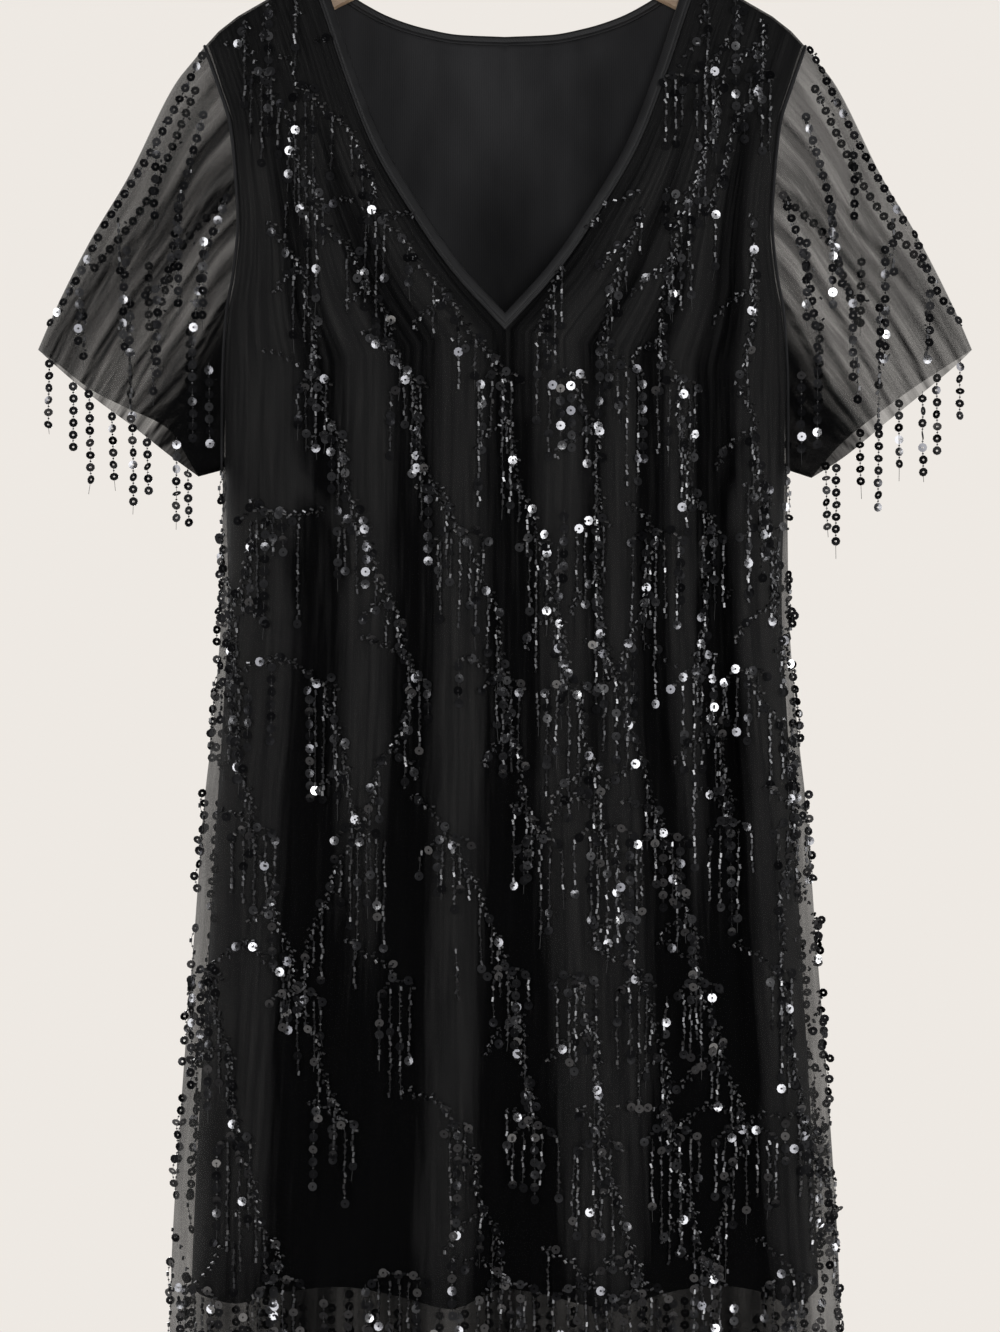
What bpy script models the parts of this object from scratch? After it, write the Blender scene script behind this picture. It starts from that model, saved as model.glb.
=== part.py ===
# Sequin fringe dress hung on a plain wooden hanger.
# Metres, +Z up, the front faces -Y. The origin is the inside top of the hook, where a rail carries it.
# Tables and functions work in millimetres, and the meshes are made in metres.

import math
from collections import namedtuple

import bmesh
import bpy
import numpy as np
from mathutils import Vector

MM = 0.001

# Walls and seams
CLOTH = 1.0              # lining, net and sleeve walls
SEAM_GAP = 0.3           # between two sewn edges
LAYER_STEP = CLOTH + SEAM_GAP + 0.15
LAYER_EASE = 2.2         # how much further the net hangs off the lining away from the seams
BAND_WIDTH = 9.0         # neck binding
BAND_WALL = 2.6
BAND_RAISE = 0.15        # binding above the net
BAND_CROWN = 0.4         # its middle above its edges
ARMHOLE_GAP = 0.6

# Dress form
SHOULDER_ROLL = 10.0     # radius of the cloth over the hanger
ROLL_ROWS = 2            # rows that follow the shoulder line below the seam
SIDE_POWER = 2.6         # how squarely the front and back turn into the side seams
UNDERARM_Z = -490.0
FOLD_START_Z = -230.0
FOLD_CHEST_Z = -350.0
FOLD_WAIST_Z = -700.0
FOLD_HEM_Z = -1150.0
HEM_WAVE = 0.6           # drop of a hem for each millimetre that its fold stands out

# Sequin fringe
STRAND_WIDTH = 4.0
STRAND_WALL = 1.3
STRIP_HEIGHT = 4.0       # backing that the strands' roots share
STRIP_CLEAR = 0.8        # from the net to the backing
STEM_RISE = 22.0         # height of the stems' arches between two clusters
BODY_STRANDS = [52.0, 70.0, 58.0, 76.0, 64.0]
HEM_STRANDS = [43.0, 38.0, 53.0, 48.0]
SLEEVE_STRANDS = [34.0, 41.0, 48.0, 55.0]
DRAPE_STEPS = 8          # places down a strand where it is kept clear of the net
TIER_STEP = 110.0
HEM_CLEAR = 0.5

# Hanger
WOOD_THICK = 10.4
WOOD_ROUND = 4.0
WOOD_BELOW_CLOTH = 4.2   # from the cloth's outer face to the wood under it
HOOK_WIRE = 1.75
HOOK_INSIDE = 19.0
SHANK_SEAT = 0.3
SHANK_STRAIGHT = 16.0

SIDES = {"front": -1, "back": 1}
HALVES = {"left": -1, "right": 1}

Shoulder = namedtuple("Shoulder", "x z")
SHOULDERS = [
    Shoulder(0, -58),
    Shoulder(136, -121),
    Shoulder(160, -131),
    Shoulder(178, -142.5),
    Shoulder(198, -154),
    Shoulder(212, -165),
    Shoulder(222, -176),
]

# Half-widths down the armhole, then down the side seam.
Width = namedtuple("Width", "z net lining")
WIDTHS = [
    Width(-176, 222, 220),
    Width(-210, 210, 208.5),
    Width(-236, 202, 200.5),
    Width(-272, 198, 196.5),
    Width(-307, 196, 194.5),
    Width(-343, 199, 197.5),
    Width(-378, 205, 203.5),
    Width(-430, 208, 206.5),
    Width(-490, 209, 207),
    Width(-586, 210, 205),
    Width(-674, 216, 209),
    Width(-738, 223, 213),
    Width(-838, 230.5, 219),
    Width(-900, 235.5, 222.5),
    Width(-968, 240.5, 226.5),
    Width(-1075, 247, 231.5),
    Width(-1190, 250, 235),
]

# How far the cloth stands off the hanger's plane, by the distance below the shoulder line.
Depth = namedtuple("Depth", "drop front back")
DEPTHS = [
    Depth(10, 10, 10),
    Depth(60, 18, 14),
    Depth(130, 28, 19),
    Depth(230, 38, 25),
    Depth(340, 44, 29),
    Depth(700, 46, 32),
    Depth(1100, 48, 34),
]

ArmholeDepth = namedtuple("ArmholeDepth", "z depth")
ARMHOLE_DEPTHS = [
    ArmholeDepth(-176, 12),
    ArmholeDepth(-256, 14),
    ArmholeDepth(-346, 15),
    ArmholeDepth(-388, 13),
    ArmholeDepth(-428, 10),
    ArmholeDepth(-490, 0),
]

# Rows of a panel from the shoulder seam down: the binding's inner edge and the height at the armhole.
NeckRow = namedtuple("NeckRow", "x z edge_z")
NECK_ROWS = {
    "front": [
        NeckRow(136, -121, -176),
        NeckRow(135, -124, -179),
        NeckRow(133, -131, -186),
        NeckRow(126.2, -150, -212),
        NeckRow(109.5, -200, -256),
        NeckRow(90, -250, -302),
        NeckRow(61.3, -300, -346),
        NeckRow(32.4, -342, -388),
        NeckRow(0, -378.3, -428),
    ],
    "back": [
        NeckRow(136, -121, -176),
        NeckRow(134.5, -122, -179),
        NeckRow(131, -124.4, -186),
        NeckRow(105, -142, -206),
        NeckRow(85, -152, -226),
        NeckRow(60, -159.8, -246),
        NeckRow(33, -164.5, -266),
        NeckRow(0, -165.7, -290),
    ],
}

# Rows below the neck: heights at the centre line and at the armhole or side seam.
BodyRow = namedtuple("BodyRow", "centre_z edge_z")
UPPER_ROWS = {
    "front": [
        BodyRow(-435, -490),
        BodyRow(-510, -540),
        BodyRow(-590, -600),
    ],
    "back": [
        BodyRow(-220, -340),
        BodyRow(-290, -390),
        BodyRow(-370, -440),
        BodyRow(-445, -490),
        BodyRow(-520, -545),
        BodyRow(-595, -605),
    ],
}
SKIRT_ROWS = [-670, -760, -850, -940, -1020]
LINING_HEM_Z = -1095
NET_HEM_Z = -1190

# Ridges (positive) and valleys (negative), placed by their share of the half-width.
Fold = namedtuple("Fold", "across chest waist hem")
FOLDS = {
    "front": [
        Fold(-1.00, 0, 0, 0),
        Fold(-0.92, 1, 2, 4),
        Fold(-0.80, 1.5, 4, 9),
        Fold(-0.65, -1.5, -4, -3),
        Fold(-0.48, 1, 4, -9),
        Fold(-0.31, -2, -4, -1),
        Fold(-0.16, 2, 5, 9),
        Fold(0.00, -1, -3, -8),
        Fold(0.11, 0, 1, -4),
        Fold(0.22, 1.5, 5, 5),
        Fold(0.30, -1, -2, 9),
        Fold(0.40, 2, 5, 2),
        Fold(0.50, -2, -4, -5),
        Fold(0.62, 2, 4, -9),
        Fold(0.73, -5, -9, -4),
        Fold(0.85, 2, 5, 10),
        Fold(0.94, 1, 2, 4),
        Fold(1.00, 0, 0, 0),
    ],
    "back": [
        Fold(-1.00, 0, 0, 0),
        Fold(-0.92, 1, 2, 3),
        Fold(-0.77, 2, 4, 8),
        Fold(-0.61, -2, -4, -6),
        Fold(-0.45, 1, 4, 6),
        Fold(-0.29, -1, -4, -7),
        Fold(-0.14, 1, 4, 6),
        Fold(0.00, -1, -2, -4),
        Fold(0.15, 2, 5, 7),
        Fold(0.31, -1, -4, -8),
        Fold(0.46, 2, 4, 7),
        Fold(0.62, -2, -5, -7),
        Fold(0.78, 2, 4, 9),
        Fold(0.92, 1, 2, 3),
        Fold(1.00, 0, 0, 0),
    ],
}

# Sleeve: its top fold from the shoulder point to the hem's outer corner, and its hem from there in.
SleeveTop = namedtuple("SleeveTop", "along x z")
SLEEVE_TOP = [
    SleeveTop(0.00, 222, -176),
    SleeveTop(0.06, 230, -186),
    SleeveTop(0.16, 243.5, -203),
    SleeveTop(0.42, 279, -273),
    SleeveTop(0.64, 306, -318),
    SleeveTop(0.86, 332, -369),
    SleeveTop(1.00, 346, -401),
]
SleeveHem = namedtuple("SleeveHem", "round x front_left back_left front_right back_right")
SLEEVE_HEM = [
    SleeveHem(0.00, 346, -401, -401, -401, -401),
    SleeveHem(0.12, 332, -411, -414, -414, -410),
    SleeveHem(0.36, 303, -433, -438, -438, -429),
    SleeveHem(0.58, 277, -446, -457, -459, -448),
    SleeveHem(0.82, 249, -460, -479, -482, -471),
    SleeveHem(1.00, 227, -495, -495, -496, -496),
]
SleeveFold = namedtuple("SleeveFold", "round height")
SLEEVE_FOLDS = [
    SleeveFold(0.00, 0),
    SleeveFold(0.12, 2),
    SleeveFold(0.26, -3),
    SleeveFold(0.40, 3),
    SleeveFold(0.54, -3),
    SleeveFold(0.67, 3),
    SleeveFold(0.82, -2),
    SleeveFold(1.00, 0),
]
SLEEVE_RINGS = [0.0, 0.16, 0.36, 0.58, 0.8, 1.0]
SLEEVE_HEM_DEPTH = 15.0
SLEEVE_ROUNDNESS = 0.5
SLEEVE_STRAND_STEP = 18.0
STRIP_END = 0.2          # share of the last stretch that the strip leaves free at the inner corner

# Tiers of hanging strands: the height of their roots, and whether the neck parts them in two.
Tier = namedtuple("Tier", "z parted")
TIERS = {
    "front": [Tier(-205, True), Tier(-310, True)] + [Tier(-425 - TIER_STEP * i, False) for i in range(7)],
    "back": [Tier(-262 - TIER_STEP * i, False) for i in range(8)],
}

# Half of the hanger: how far its top rises off the shoulder line, and how high the wood is.
Arm = namedtuple("Arm", "x rise height")
HANGER_ARM = [
    Arm(0, -10, 30),
    Arm(24, -1.5, 30),
    Arm(48, 2, 30),
    Arm(76, 2.5, 29),
    Arm(104, 1, 28),
    Arm(128, 0, 28),
    Arm(144, 0, 28),
    Arm(160, 0, 27),
    Arm(178, 0, 25),
    Arm(198, 0, 23),
    Arm(206, -0.5, 19),
    Arm(211, -2, 11),
]
HOOK_START_DEG = -55
HOOK_END_DEG = 200
HOOK_STEP_DEG = 12.75

COLOURS = {
    "hanger_wood": ((0.45, 0.27, 0.14, 1), 0.45, 0.0),
    "hanger_hook": ((0.60, 0.60, 0.62, 1), 0.25, 1.0),
    "lining": ((0.012, 0.012, 0.013, 1), 0.65, 0.0),
    "net": ((0.020, 0.020, 0.021, 1), 0.80, 0.0),
    "sleeve": ((0.035, 0.035, 0.036, 1), 0.80, 0.0),
    "neck_binding": ((0.016, 0.016, 0.017, 1), 0.60, 0.0),
    "fringe": ((0.028, 0.028, 0.032, 1), 0.22, 0.4),
}


def read(table, column, at):
    # A column's value at a place along the table's first column, straight between its rows.
    places = [row[0] for row in table]
    values = [getattr(row, column) for row in table]
    if places[0] > places[-1]:
        places.reverse()
        values.reverse()
    return float(np.interp(at, places, values))


def material_for(name):
    kind = next(key for key in COLOURS if name.startswith(key))
    colour, roughness, metallic = COLOURS[kind]
    material = bpy.data.materials.new(name)
    material.use_nodes = True
    shader = material.node_tree.nodes["Principled BSDF"]
    shader.inputs["Base Color"].default_value = colour
    shader.inputs["Roughness"].default_value = roughness
    shader.inputs["Metallic"].default_value = metallic
    return material


def place(collection, name, data):
    piece = bpy.data.objects.new(name, data)
    piece.data.materials.append(material_for(name))
    collection.objects.link(piece)
    return piece


def walled(bm, wall):
    # The open surface given a wall on its inner side, as a new closed mesh.
    sheet = bpy.data.meshes.new("sheet")
    bm.to_mesh(sheet)
    bm.free()
    guide = bpy.data.objects.new("sheet", sheet)
    bpy.context.scene.collection.objects.link(guide)
    solidify = guide.modifiers.new("wall", "SOLIDIFY")
    solidify.thickness = wall * MM
    solidify.offset = -1
    evaluated = guide.evaluated_get(bpy.context.evaluated_depsgraph_get())
    mesh = bpy.data.meshes.new_from_object(evaluated)
    bpy.data.objects.remove(guide)
    return mesh


def cloth_piece(collection, name, bm, wall, side=None):
    # A front or back piece stays on its own side of the seams' plane.
    bmesh.ops.recalc_face_normals(bm, faces=bm.faces)
    turn_outwards(bm)
    mesh = walled(bm, wall)
    if side is not None:
        for vert in mesh.vertices:
            vert.co.y = SIDES[side] * max(SIDES[side] * vert.co.y, SEAM_GAP / 2 * MM)
    mesh.shade_smooth()
    mesh.set_sharp_from_angle(angle=math.radians(40))
    return place(collection, name, mesh)


def turn_outwards(bm):
    # The surface's own middle is inside it, so most faces point away from there.
    middle = sum((vert.co for vert in bm.verts), Vector()) / len(bm.verts)
    middle.y = 0
    outward = sum(face.normal.dot(face.calc_center_median() - middle) * face.calc_area() for face in bm.faces)
    if outward < 0:
        bmesh.ops.reverse_faces(bm, faces=bm.faces)


def add_grid(bm, rows, closed=False):
    # Faces between rows of points, each row as long as the next.
    made = [[bm.verts.new(Vector(point) * MM) for point in row] for row in rows]
    for upper, lower in zip(made, made[1:]):
        count = len(upper)
        last = count if closed else count - 1
        for i in range(last):
            j = (i + 1) % count
            bm.faces.new((upper[i], upper[j], lower[j], lower[i]))
    return made


def shoulder_z(x):
    return read(SHOULDERS, "z", abs(x))


def shoulder_stretch(x):
    # How much longer a sloping wall's thickness is when it is measured straight down.
    slope = shoulder_z(abs(x) + 1) - shoulder_z(abs(x) - 1)
    return math.hypot(1, slope / 2)


def fold_height(side, across, z):
    folds = FOLDS[side]
    heights = [0.0] + [read(folds, when, across) for when in ("chest", "waist", "hem")]
    places = [-FOLD_START_Z, -FOLD_CHEST_Z, -FOLD_WAIST_Z, -FOLD_HEM_Z]
    return float(np.interp(-z, places, heights))


def cloth_point(side, x, z, across, out, half_width):
    # A point of the worn surface, moved out of it by a distance.
    drop = max(shoulder_z(x) - z, 0)
    if drop < SHOULDER_ROLL:
        up = (SHOULDER_ROLL - drop) / SHOULDER_ROLL
        depth = SHOULDER_ROLL * math.sqrt(1 - up * up)
    else:
        up = 0
        depth = read(DEPTHS, side, drop)
    armhole = 0
    if z > UNDERARM_Z:
        armhole = min(read(ARMHOLE_DEPTHS, "depth", z), depth)
    share = min(abs(x) / half_width, 1)
    depth = armhole + (depth - armhole) * math.sqrt(1 - share ** SIDE_POWER)
    depth += fold_height(side, across, z) + out * math.sqrt(1 - up * up)
    return (x, SIDES[side] * max(depth, SEAM_GAP / 2), z + out * up * shoulder_stretch(x))


def edge_normals(rows):
    # Outward direction of the neck edge at each row, long enough to keep the band's width at a turn.
    shoulder = Vector((SHOULDERS[2].x - SHOULDERS[1].x, SHOULDERS[2].z - SHOULDERS[1].z)).normalized()
    segments = [shoulder]
    for upper, lower in zip(rows[1:], rows[2:]):
        run = Vector((lower.x - upper.x, lower.z - upper.z)).normalized()
        segments.append(Vector((-run.y, run.x)))
    last = segments[-1]
    segments.append(Vector((-last.x, last.y)))
    normals = [shoulder]
    for before, after in zip(segments, segments[1:]):
        middle = (before + after).normalized()
        normals.append(middle / max(middle.dot(after), 0.5))
    return normals


def neck_edge(side, offset):
    # The neck line moved out by a distance, as one point a row.
    rows = NECK_ROWS[side]
    points = []
    for row, normal in zip(rows, edge_normals(rows)):
        points.append((row.x + normal.x * offset, row.z + normal.y * offset))
    first_x = points[0][0]
    points[0] = (first_x, shoulder_z(first_x))
    return points


def panel_rows(side, layer):
    # Each row's inner end, its outer height and whether it lies at the neck.
    rows = []
    for (x, z), row in zip(neck_edge(side, BAND_WIDTH + SEAM_GAP), NECK_ROWS[side]):
        rows.append((x, z, row.edge_z, row.x > 0))
    lower = list(UPPER_ROWS[side]) + [BodyRow(z, z) for z in SKIRT_ROWS] + [BodyRow(LINING_HEM_Z, LINING_HEM_Z)]
    if layer == "net":
        lower.append(BodyRow(NET_HEM_Z, NET_HEM_Z))
    for row in lower:
        rows.append((0, row.centre_z, row.edge_z, False))
    return rows


def panel_half(side, layer, half):
    # Rows of points from the neck or centre line out to the armhole or side seam.
    sign = HALVES[half]
    columns = sorted((fold for fold in FOLDS[side] if fold.across * sign >= 0), key=lambda fold: abs(fold.across))
    grid = []
    for index, (inner_x, inner_z, edge_z, at_neck) in enumerate(panel_rows(side, layer)):
        outer_x = read(WIDTHS, "net", edge_z)
        own_x = read(WIDTHS, layer, edge_z)
        line = []
        for fold in columns:
            share = abs(fold.across)
            x = inner_x + (outer_x - inner_x) * share
            if share == 1:
                x = own_x
            z = inner_z + (edge_z - inner_z) * share
            top_line = shoulder_z(inner_x) + (shoulder_z(outer_x) - shoulder_z(inner_x)) * share
            bulge = shoulder_z(x) - top_line
            z += bulge * min(1, max(0, (ROLL_ROWS + 4 - index) / 4))
            if index == 0:
                z = shoulder_z(x)
            if edge_z <= LINING_HEM_Z:
                z -= HEM_WAVE * fold.hem
            half_width = max(read(WIDTHS, layer, z), x)
            out = 0
            if layer == "lining":
                away_from_seams = 0 if share in (0, 1) and (at_neck or share == 1) else 1
                out = -LAYER_STEP - LAYER_EASE * away_from_seams * min(index / 5, 1)
            line.append(cloth_point(side, sign * x, z, fold.across, out, half_width))
        grid.append(line)
    return grid


def make_panel(collection, side, layer):
    halves = {half: panel_half(side, layer, half) for half in HALVES}
    bm = bmesh.new()
    for grid in halves.values():
        add_grid(bm, grid)
    bmesh.ops.remove_doubles(bm, verts=bm.verts, dist=0.01 * MM)
    cloth_piece(collection, layer + "_" + side, bm, CLOTH, side)
    return halves


def make_binding(collection, side):
    lines = []
    for offset, raise_by in ((0, 0), (BAND_WIDTH / 2, BAND_CROWN), (BAND_WIDTH, 0)):
        line = []
        for x, z in neck_edge(side, offset):
            half_width = read(WIDTHS, "net", z)
            line.append(cloth_point(side, x, z, 0, BAND_RAISE + raise_by, half_width))
        mirrored = [(-x, y, z) for x, y, z in reversed(line[:-1])]
        lines.append(line + mirrored)
    bm = bmesh.new()
    add_grid(bm, lines)
    return cloth_piece(collection, "neck_binding_" + side, bm, BAND_WALL, side)


def armhole_ring(panels, half):
    # The net's armhole edges, front and back, moved out to the sleeve's seam.
    sign = HALVES[half]
    edges = {}
    for side in SIDES:
        edges[side] = [row[-1] for row in panels[side][half] if row[-1][2] >= UNDERARM_Z - 0.01]
    top = edges["front"][0]
    bottom = edges["front"][-1]
    ring = [("front", 0.0, (top[0] + sign * ARMHOLE_GAP, 0, top[2] - SEAM_GAP))]
    height = top[2] - bottom[2]
    for point in edges["front"][1:-1]:
        ring.append(("front", (top[2] - point[2]) / height, (point[0] + sign * ARMHOLE_GAP, point[1], point[2])))
    ring.append(("front", 1.0, (bottom[0] + sign * ARMHOLE_GAP, 0, bottom[2] - SEAM_GAP)))
    for point in reversed(edges["back"][1:-1]):
        ring.append(("back", (top[2] - point[2]) / height, (point[0] + sign * ARMHOLE_GAP, point[1], point[2])))
    return ring


def sleeve_grid(panels, half):
    sign = HALVES[half]
    ring = armhole_ring(panels, half)
    rows = []
    for along in SLEEVE_RINGS:
        top_x = read(SLEEVE_TOP, "x", along)
        top_z = read(SLEEVE_TOP, "z", along)
        straight_x = SLEEVE_TOP[0].x + (SLEEVE_TOP[-1].x - SLEEVE_TOP[0].x) * along
        straight_z = SLEEVE_TOP[0].z + (SLEEVE_TOP[-1].z - SLEEVE_TOP[0].z) * along
        line = []
        for side, share, (x, y, z) in ring:
            hem_x = read(SLEEVE_HEM, "x", share)
            hem_z = read(SLEEVE_HEM, side + "_" + half, share)
            round_off = math.sin(math.pi * share) ** SLEEVE_ROUNDNESS
            fold = read(SLEEVE_FOLDS, "height", share)
            hem_y = SIDES[side] * (SLEEVE_HEM_DEPTH * round_off + fold)
            lift = (1 - share) ** 2
            line.append((
                x + (sign * hem_x - x) * along + sign * (top_x - straight_x) * lift,
                y + (hem_y - y) * along,
                z + (hem_z - z) * along + (top_z - straight_z) * lift,
            ))
        rows.append(line)
    return rows


def make_sleeve(collection, panels, half):
    rows = sleeve_grid(panels, half)
    bm = bmesh.new()
    add_grid(bm, rows, closed=True)
    cloth_piece(collection, "sleeve_" + half, bm, CLOTH)
    return rows


def fringe_piece(collection, name, uppers, lowers, strands, closed=False, side=None):
    # A backing strip between two lines of points, with a strand drawn down from each listed cell.
    bm = bmesh.new()
    lines = add_grid(bm, [uppers, lowers], closed)
    for cell, ends in strands.items():
        left = lines[1][cell]
        right = lines[1][(cell + 1) % len(lowers)]
        tips = [bm.verts.new(Vector(end) * MM) for end in ends]
        bm.faces.new((left, right, tips[1], tips[0]))
    bm.normal_update()
    facing = sum(face.normal.y * face.calc_area() for face in bm.faces)
    if side is not None and facing * SIDES[side] < 0:
        bmesh.ops.reverse_faces(bm, faces=bm.faces)
    if side is None:
        turn_outwards(bm)
    return place(collection, name, walled(bm, STRAND_WALL))


def section(panel, halves, z):
    # Where each of a panel's column lines crosses a height, from left to right.
    points = []
    for half in halves:
        grid = panel[half]
        line = []
        for column in range(len(grid[0])):
            heights = [-row[column][2] for row in grid]
            x = float(np.interp(-z, heights, [row[column][0] for row in grid]))
            y = float(np.interp(-z, heights, [row[column][1] for row in grid]))
            line.append((x, y))
        points += line if HALVES[half] > 0 else line[::-1]
    if len(halves) == 2:
        points.pop(len(panel["left"][0]))
    return points


def depth_at(points, x):
    return float(np.interp(x, [point[0] for point in points], [point[1] for point in points]))


def strand_tips(side, panel, halves, roots, root_z, length):
    # A strand hangs straight, leaning out just enough to stay clear of the net below its root.
    out = SIDES[side]
    slope = 0.0
    for step in range(1, DRAPE_STEPS + 1):
        below = length * step / DRAPE_STEPS
        points = section(panel, halves, root_z - below)
        for x, y in roots:
            wanted = out * depth_at(points, x) + STRIP_CLEAR + STRAND_WALL
            slope = max(slope, (wanted - out * y) / below)
    return [(x, y + out * slope * length, root_z - length) for x, y in roots]


def make_tier(collection, name, side, panel, halves, tier_z, number):
    out = SIDES[side]
    columns = sum(len(panel[half][0]) for half in halves) - (len(halves) - 1)
    uppers, lowers, strands = [], [], {}
    for column in range(1, columns - 1):
        holds_strand = (column + number) % 2 == 0
        root_z = tier_z if holds_strand else tier_z + STEM_RISE
        upper_line = section(panel, halves, root_z)
        lower_line = section(panel, halves, root_z - STRIP_HEIGHT)
        centre_x, centre_y = upper_line[column]
        offsets = (-STRAND_WIDTH / 2, STRAND_WIDTH / 2) if holds_strand else (0,)
        roots = []
        for offset in offsets:
            x = centre_x + offset
            stand = STRIP_CLEAR + STRAND_WALL
            upper_y = out * max(out * depth_at(upper_line, x), out * centre_y) + out * stand
            lower_y = out * max(out * depth_at(lower_line, x), out * lower_line[column][1]) + out * stand
            uppers.append((x, upper_y, root_z))
            lowers.append((x, lower_y, root_z - STRIP_HEIGHT))
            roots.append((x, lower_y))
        if holds_strand:
            length = BODY_STRANDS[(2 * column + 3 * number) % len(BODY_STRANDS)]
            strands[len(uppers) - 2] = strand_tips(side, panel, halves, roots, root_z - STRIP_HEIGHT, length)
    fringe_piece(collection, name, uppers, lowers, strands, side=side)


def make_hem_fringe(collection, side, panel):
    # The net's lowest edge, parted from it, with a strand under each column but the outermost.
    edge = [row for row in reversed(panel["left"][-1])] + panel["right"][-1][1:]
    out = SIDES[side]
    uppers, lowers, strands = [], [], {}
    for column, (x, y, z) in enumerate(edge):
        holds_strand = 0 < column < len(edge) - 1
        offsets = (-STRAND_WIDTH / 2, STRAND_WIDTH / 2) if holds_strand else (0,)
        for offset in offsets:
            here = x + offset
            here_y = float(np.interp(here, [point[0] for point in edge], [point[1] for point in edge]))
            here_z = min(z, float(np.interp(here, [point[0] for point in edge], [point[2] for point in edge])))
            here_y = out * max(out * here_y, SEAM_GAP / 2 + (STRAND_WALL if not holds_strand else 0))
            uppers.append((here, here_y, here_z - HEM_CLEAR))
            lowers.append((here, here_y, here_z - HEM_CLEAR - STRIP_HEIGHT))
        if holds_strand:
            length = HEM_STRANDS[column % len(HEM_STRANDS)]
            ends = [(px, py, pz - length) for px, py, pz in lowers[-2:]]
            strands[len(uppers) - 2] = ends
    fringe_piece(collection, "fringe_hem_" + side, uppers, lowers, strands, side=side)


def make_sleeve_fringe(collection, rows, half):
    # A strip parted from the sleeve's hem, from its inner corner round the outer one and back, with strands.
    inner = next(i for i, point in enumerate(rows[-1]) if abs(point[0]) == SLEEVE_HEM[-1].x)
    hem = [Vector(point) for point in rows[-1][inner:] + rows[-1][:inner + 1]]
    above = [Vector(point) for point in rows[-2][inner:] + rows[-2][:inner + 1]]
    uppers, lowers, strands = [], [], {}
    for i in range(len(hem) - 1):
        run = hem[i + 1] - hem[i]
        count = round(run.length / SLEEVE_STRAND_STEP)
        half_width = STRAND_WIDTH / 2 / run.length
        shares = [STRIP_END if i == 0 else 0.0]
        for k in range(count):
            middle = (k + 0.5) / count
            shares += [middle - half_width, middle + half_width]
        if i == len(hem) - 2:
            shares.append(1 - STRIP_END)
        for order, share in enumerate(shares):
            edge = hem[i] + run * share
            down = (edge - above[i] - (above[i + 1] - above[i]) * share).normalized()
            uppers.append(edge + down * HEM_CLEAR)
            lowers.append(edge + down * (HEM_CLEAR + STRIP_HEIGHT))
            if order in range(2, 2 * count + 1, 2):
                length = SLEEVE_STRANDS[i % len(SLEEVE_STRANDS)]
                strands[len(lowers) - 2] = [end - Vector((0, 0, length)) for end in lowers[-2:]]
    fringe_piece(collection, "fringe_sleeve_" + half, uppers, lowers, strands)


def arm_top(x):
    # Under the cloth the arm follows the shoulders, and inside the neck it rises to the hook.
    under_cloth = shoulder_z(x) - WOOD_BELOW_CLOTH * shoulder_stretch(x)
    return read(HANGER_ARM, "rise", x) + under_cloth


def make_hanger_wood(collection):
    top = [(arm.x, arm_top(arm.x)) for arm in HANGER_ARM]
    outline = top + [(x, z - arm.height) for (x, z), arm in zip(top[::-1], HANGER_ARM[::-1])]
    mirrored = [(-x, z) for x, z in reversed(outline) if x > 0]
    curve = bpy.data.curves.new("hanger_wood", "CURVE")
    curve.dimensions = "2D"
    curve.fill_mode = "BOTH"
    curve.extrude = (WOOD_THICK / 2 - WOOD_ROUND) * MM
    curve.bevel_depth = WOOD_ROUND * MM
    curve.bevel_resolution = 1
    curve.offset = -WOOD_ROUND * MM
    points = outline + mirrored
    spline = curve.splines.new("POLY")
    spline.points.add(len(points) - 1)
    for point, (x, z) in zip(spline.points, points):
        point.co = (x * MM, z * MM, 0, 1)
    spline.use_cyclic_u = True
    wood = place(collection, "hanger_wood", curve)
    wood.rotation_euler = (math.radians(90), 0, 0)
    return wood


def make_hanger_hook(collection):
    radius = HOOK_INSIDE + HOOK_WIRE
    centre_z = HOOK_WIRE - radius
    foot = arm_top(0) + SHANK_SEAT
    points = [(0, foot), (0, foot + SHANK_STRAIGHT), (1, centre_z - 1.37 * radius), (5, centre_z - 1.08 * radius)]
    turns = round((HOOK_END_DEG - HOOK_START_DEG) / HOOK_STEP_DEG)
    for i in range(turns + 1):
        angle = math.radians(HOOK_START_DEG + i * HOOK_STEP_DEG)
        points.append((radius * math.cos(angle), centre_z + radius * math.sin(angle)))
    curve = bpy.data.curves.new("hanger_hook", "CURVE")
    curve.dimensions = "3D"
    curve.bevel_depth = HOOK_WIRE * MM
    curve.bevel_resolution = 2
    curve.use_fill_caps = True
    spline = curve.splines.new("POLY")
    spline.points.add(len(points) - 1)
    for point, (x, z) in zip(spline.points, points):
        point.co = (x * MM, 0, z * MM, 1)
    return place(collection, "hanger_hook", curve)


def main():
    for old in list(bpy.data.objects):
        bpy.data.objects.remove(old, do_unlink=True)
    dress = bpy.data.collections.new("sequin_fringe_dress")
    bpy.context.scene.collection.children.link(dress)
    make_hanger_wood(dress)
    make_hanger_hook(dress)
    net = {}
    for side in SIDES:
        make_panel(dress, side, "lining")
        net[side] = make_panel(dress, side, "net")
        make_binding(dress, side)
        make_hem_fringe(dress, side, net[side])
        for number, tier in enumerate(TIERS[side], start=1):
            name = "fringe_" + side + "_" + str(number)
            if tier.parted:
                for half in HALVES:
                    make_tier(dress, name + "_" + half, side, net[side], [half], tier.z, number)
            else:
                make_tier(dress, name, side, net[side], ["left", "right"], tier.z, number)
    for half in HALVES:
        rows = make_sleeve(dress, net, half)
        make_sleeve_fringe(dress, rows, half)


main()
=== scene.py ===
# Sequin fringe dress on a wooden hanger: cloth, beadwork and finishes over the fixed frame.
# Lengths below are millimetres, and every piece is brought to metres when it is finished.
import math

import bmesh
import bpy
import numpy as np
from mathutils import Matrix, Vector
from mathutils.bvhtree import BVHTree


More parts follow.
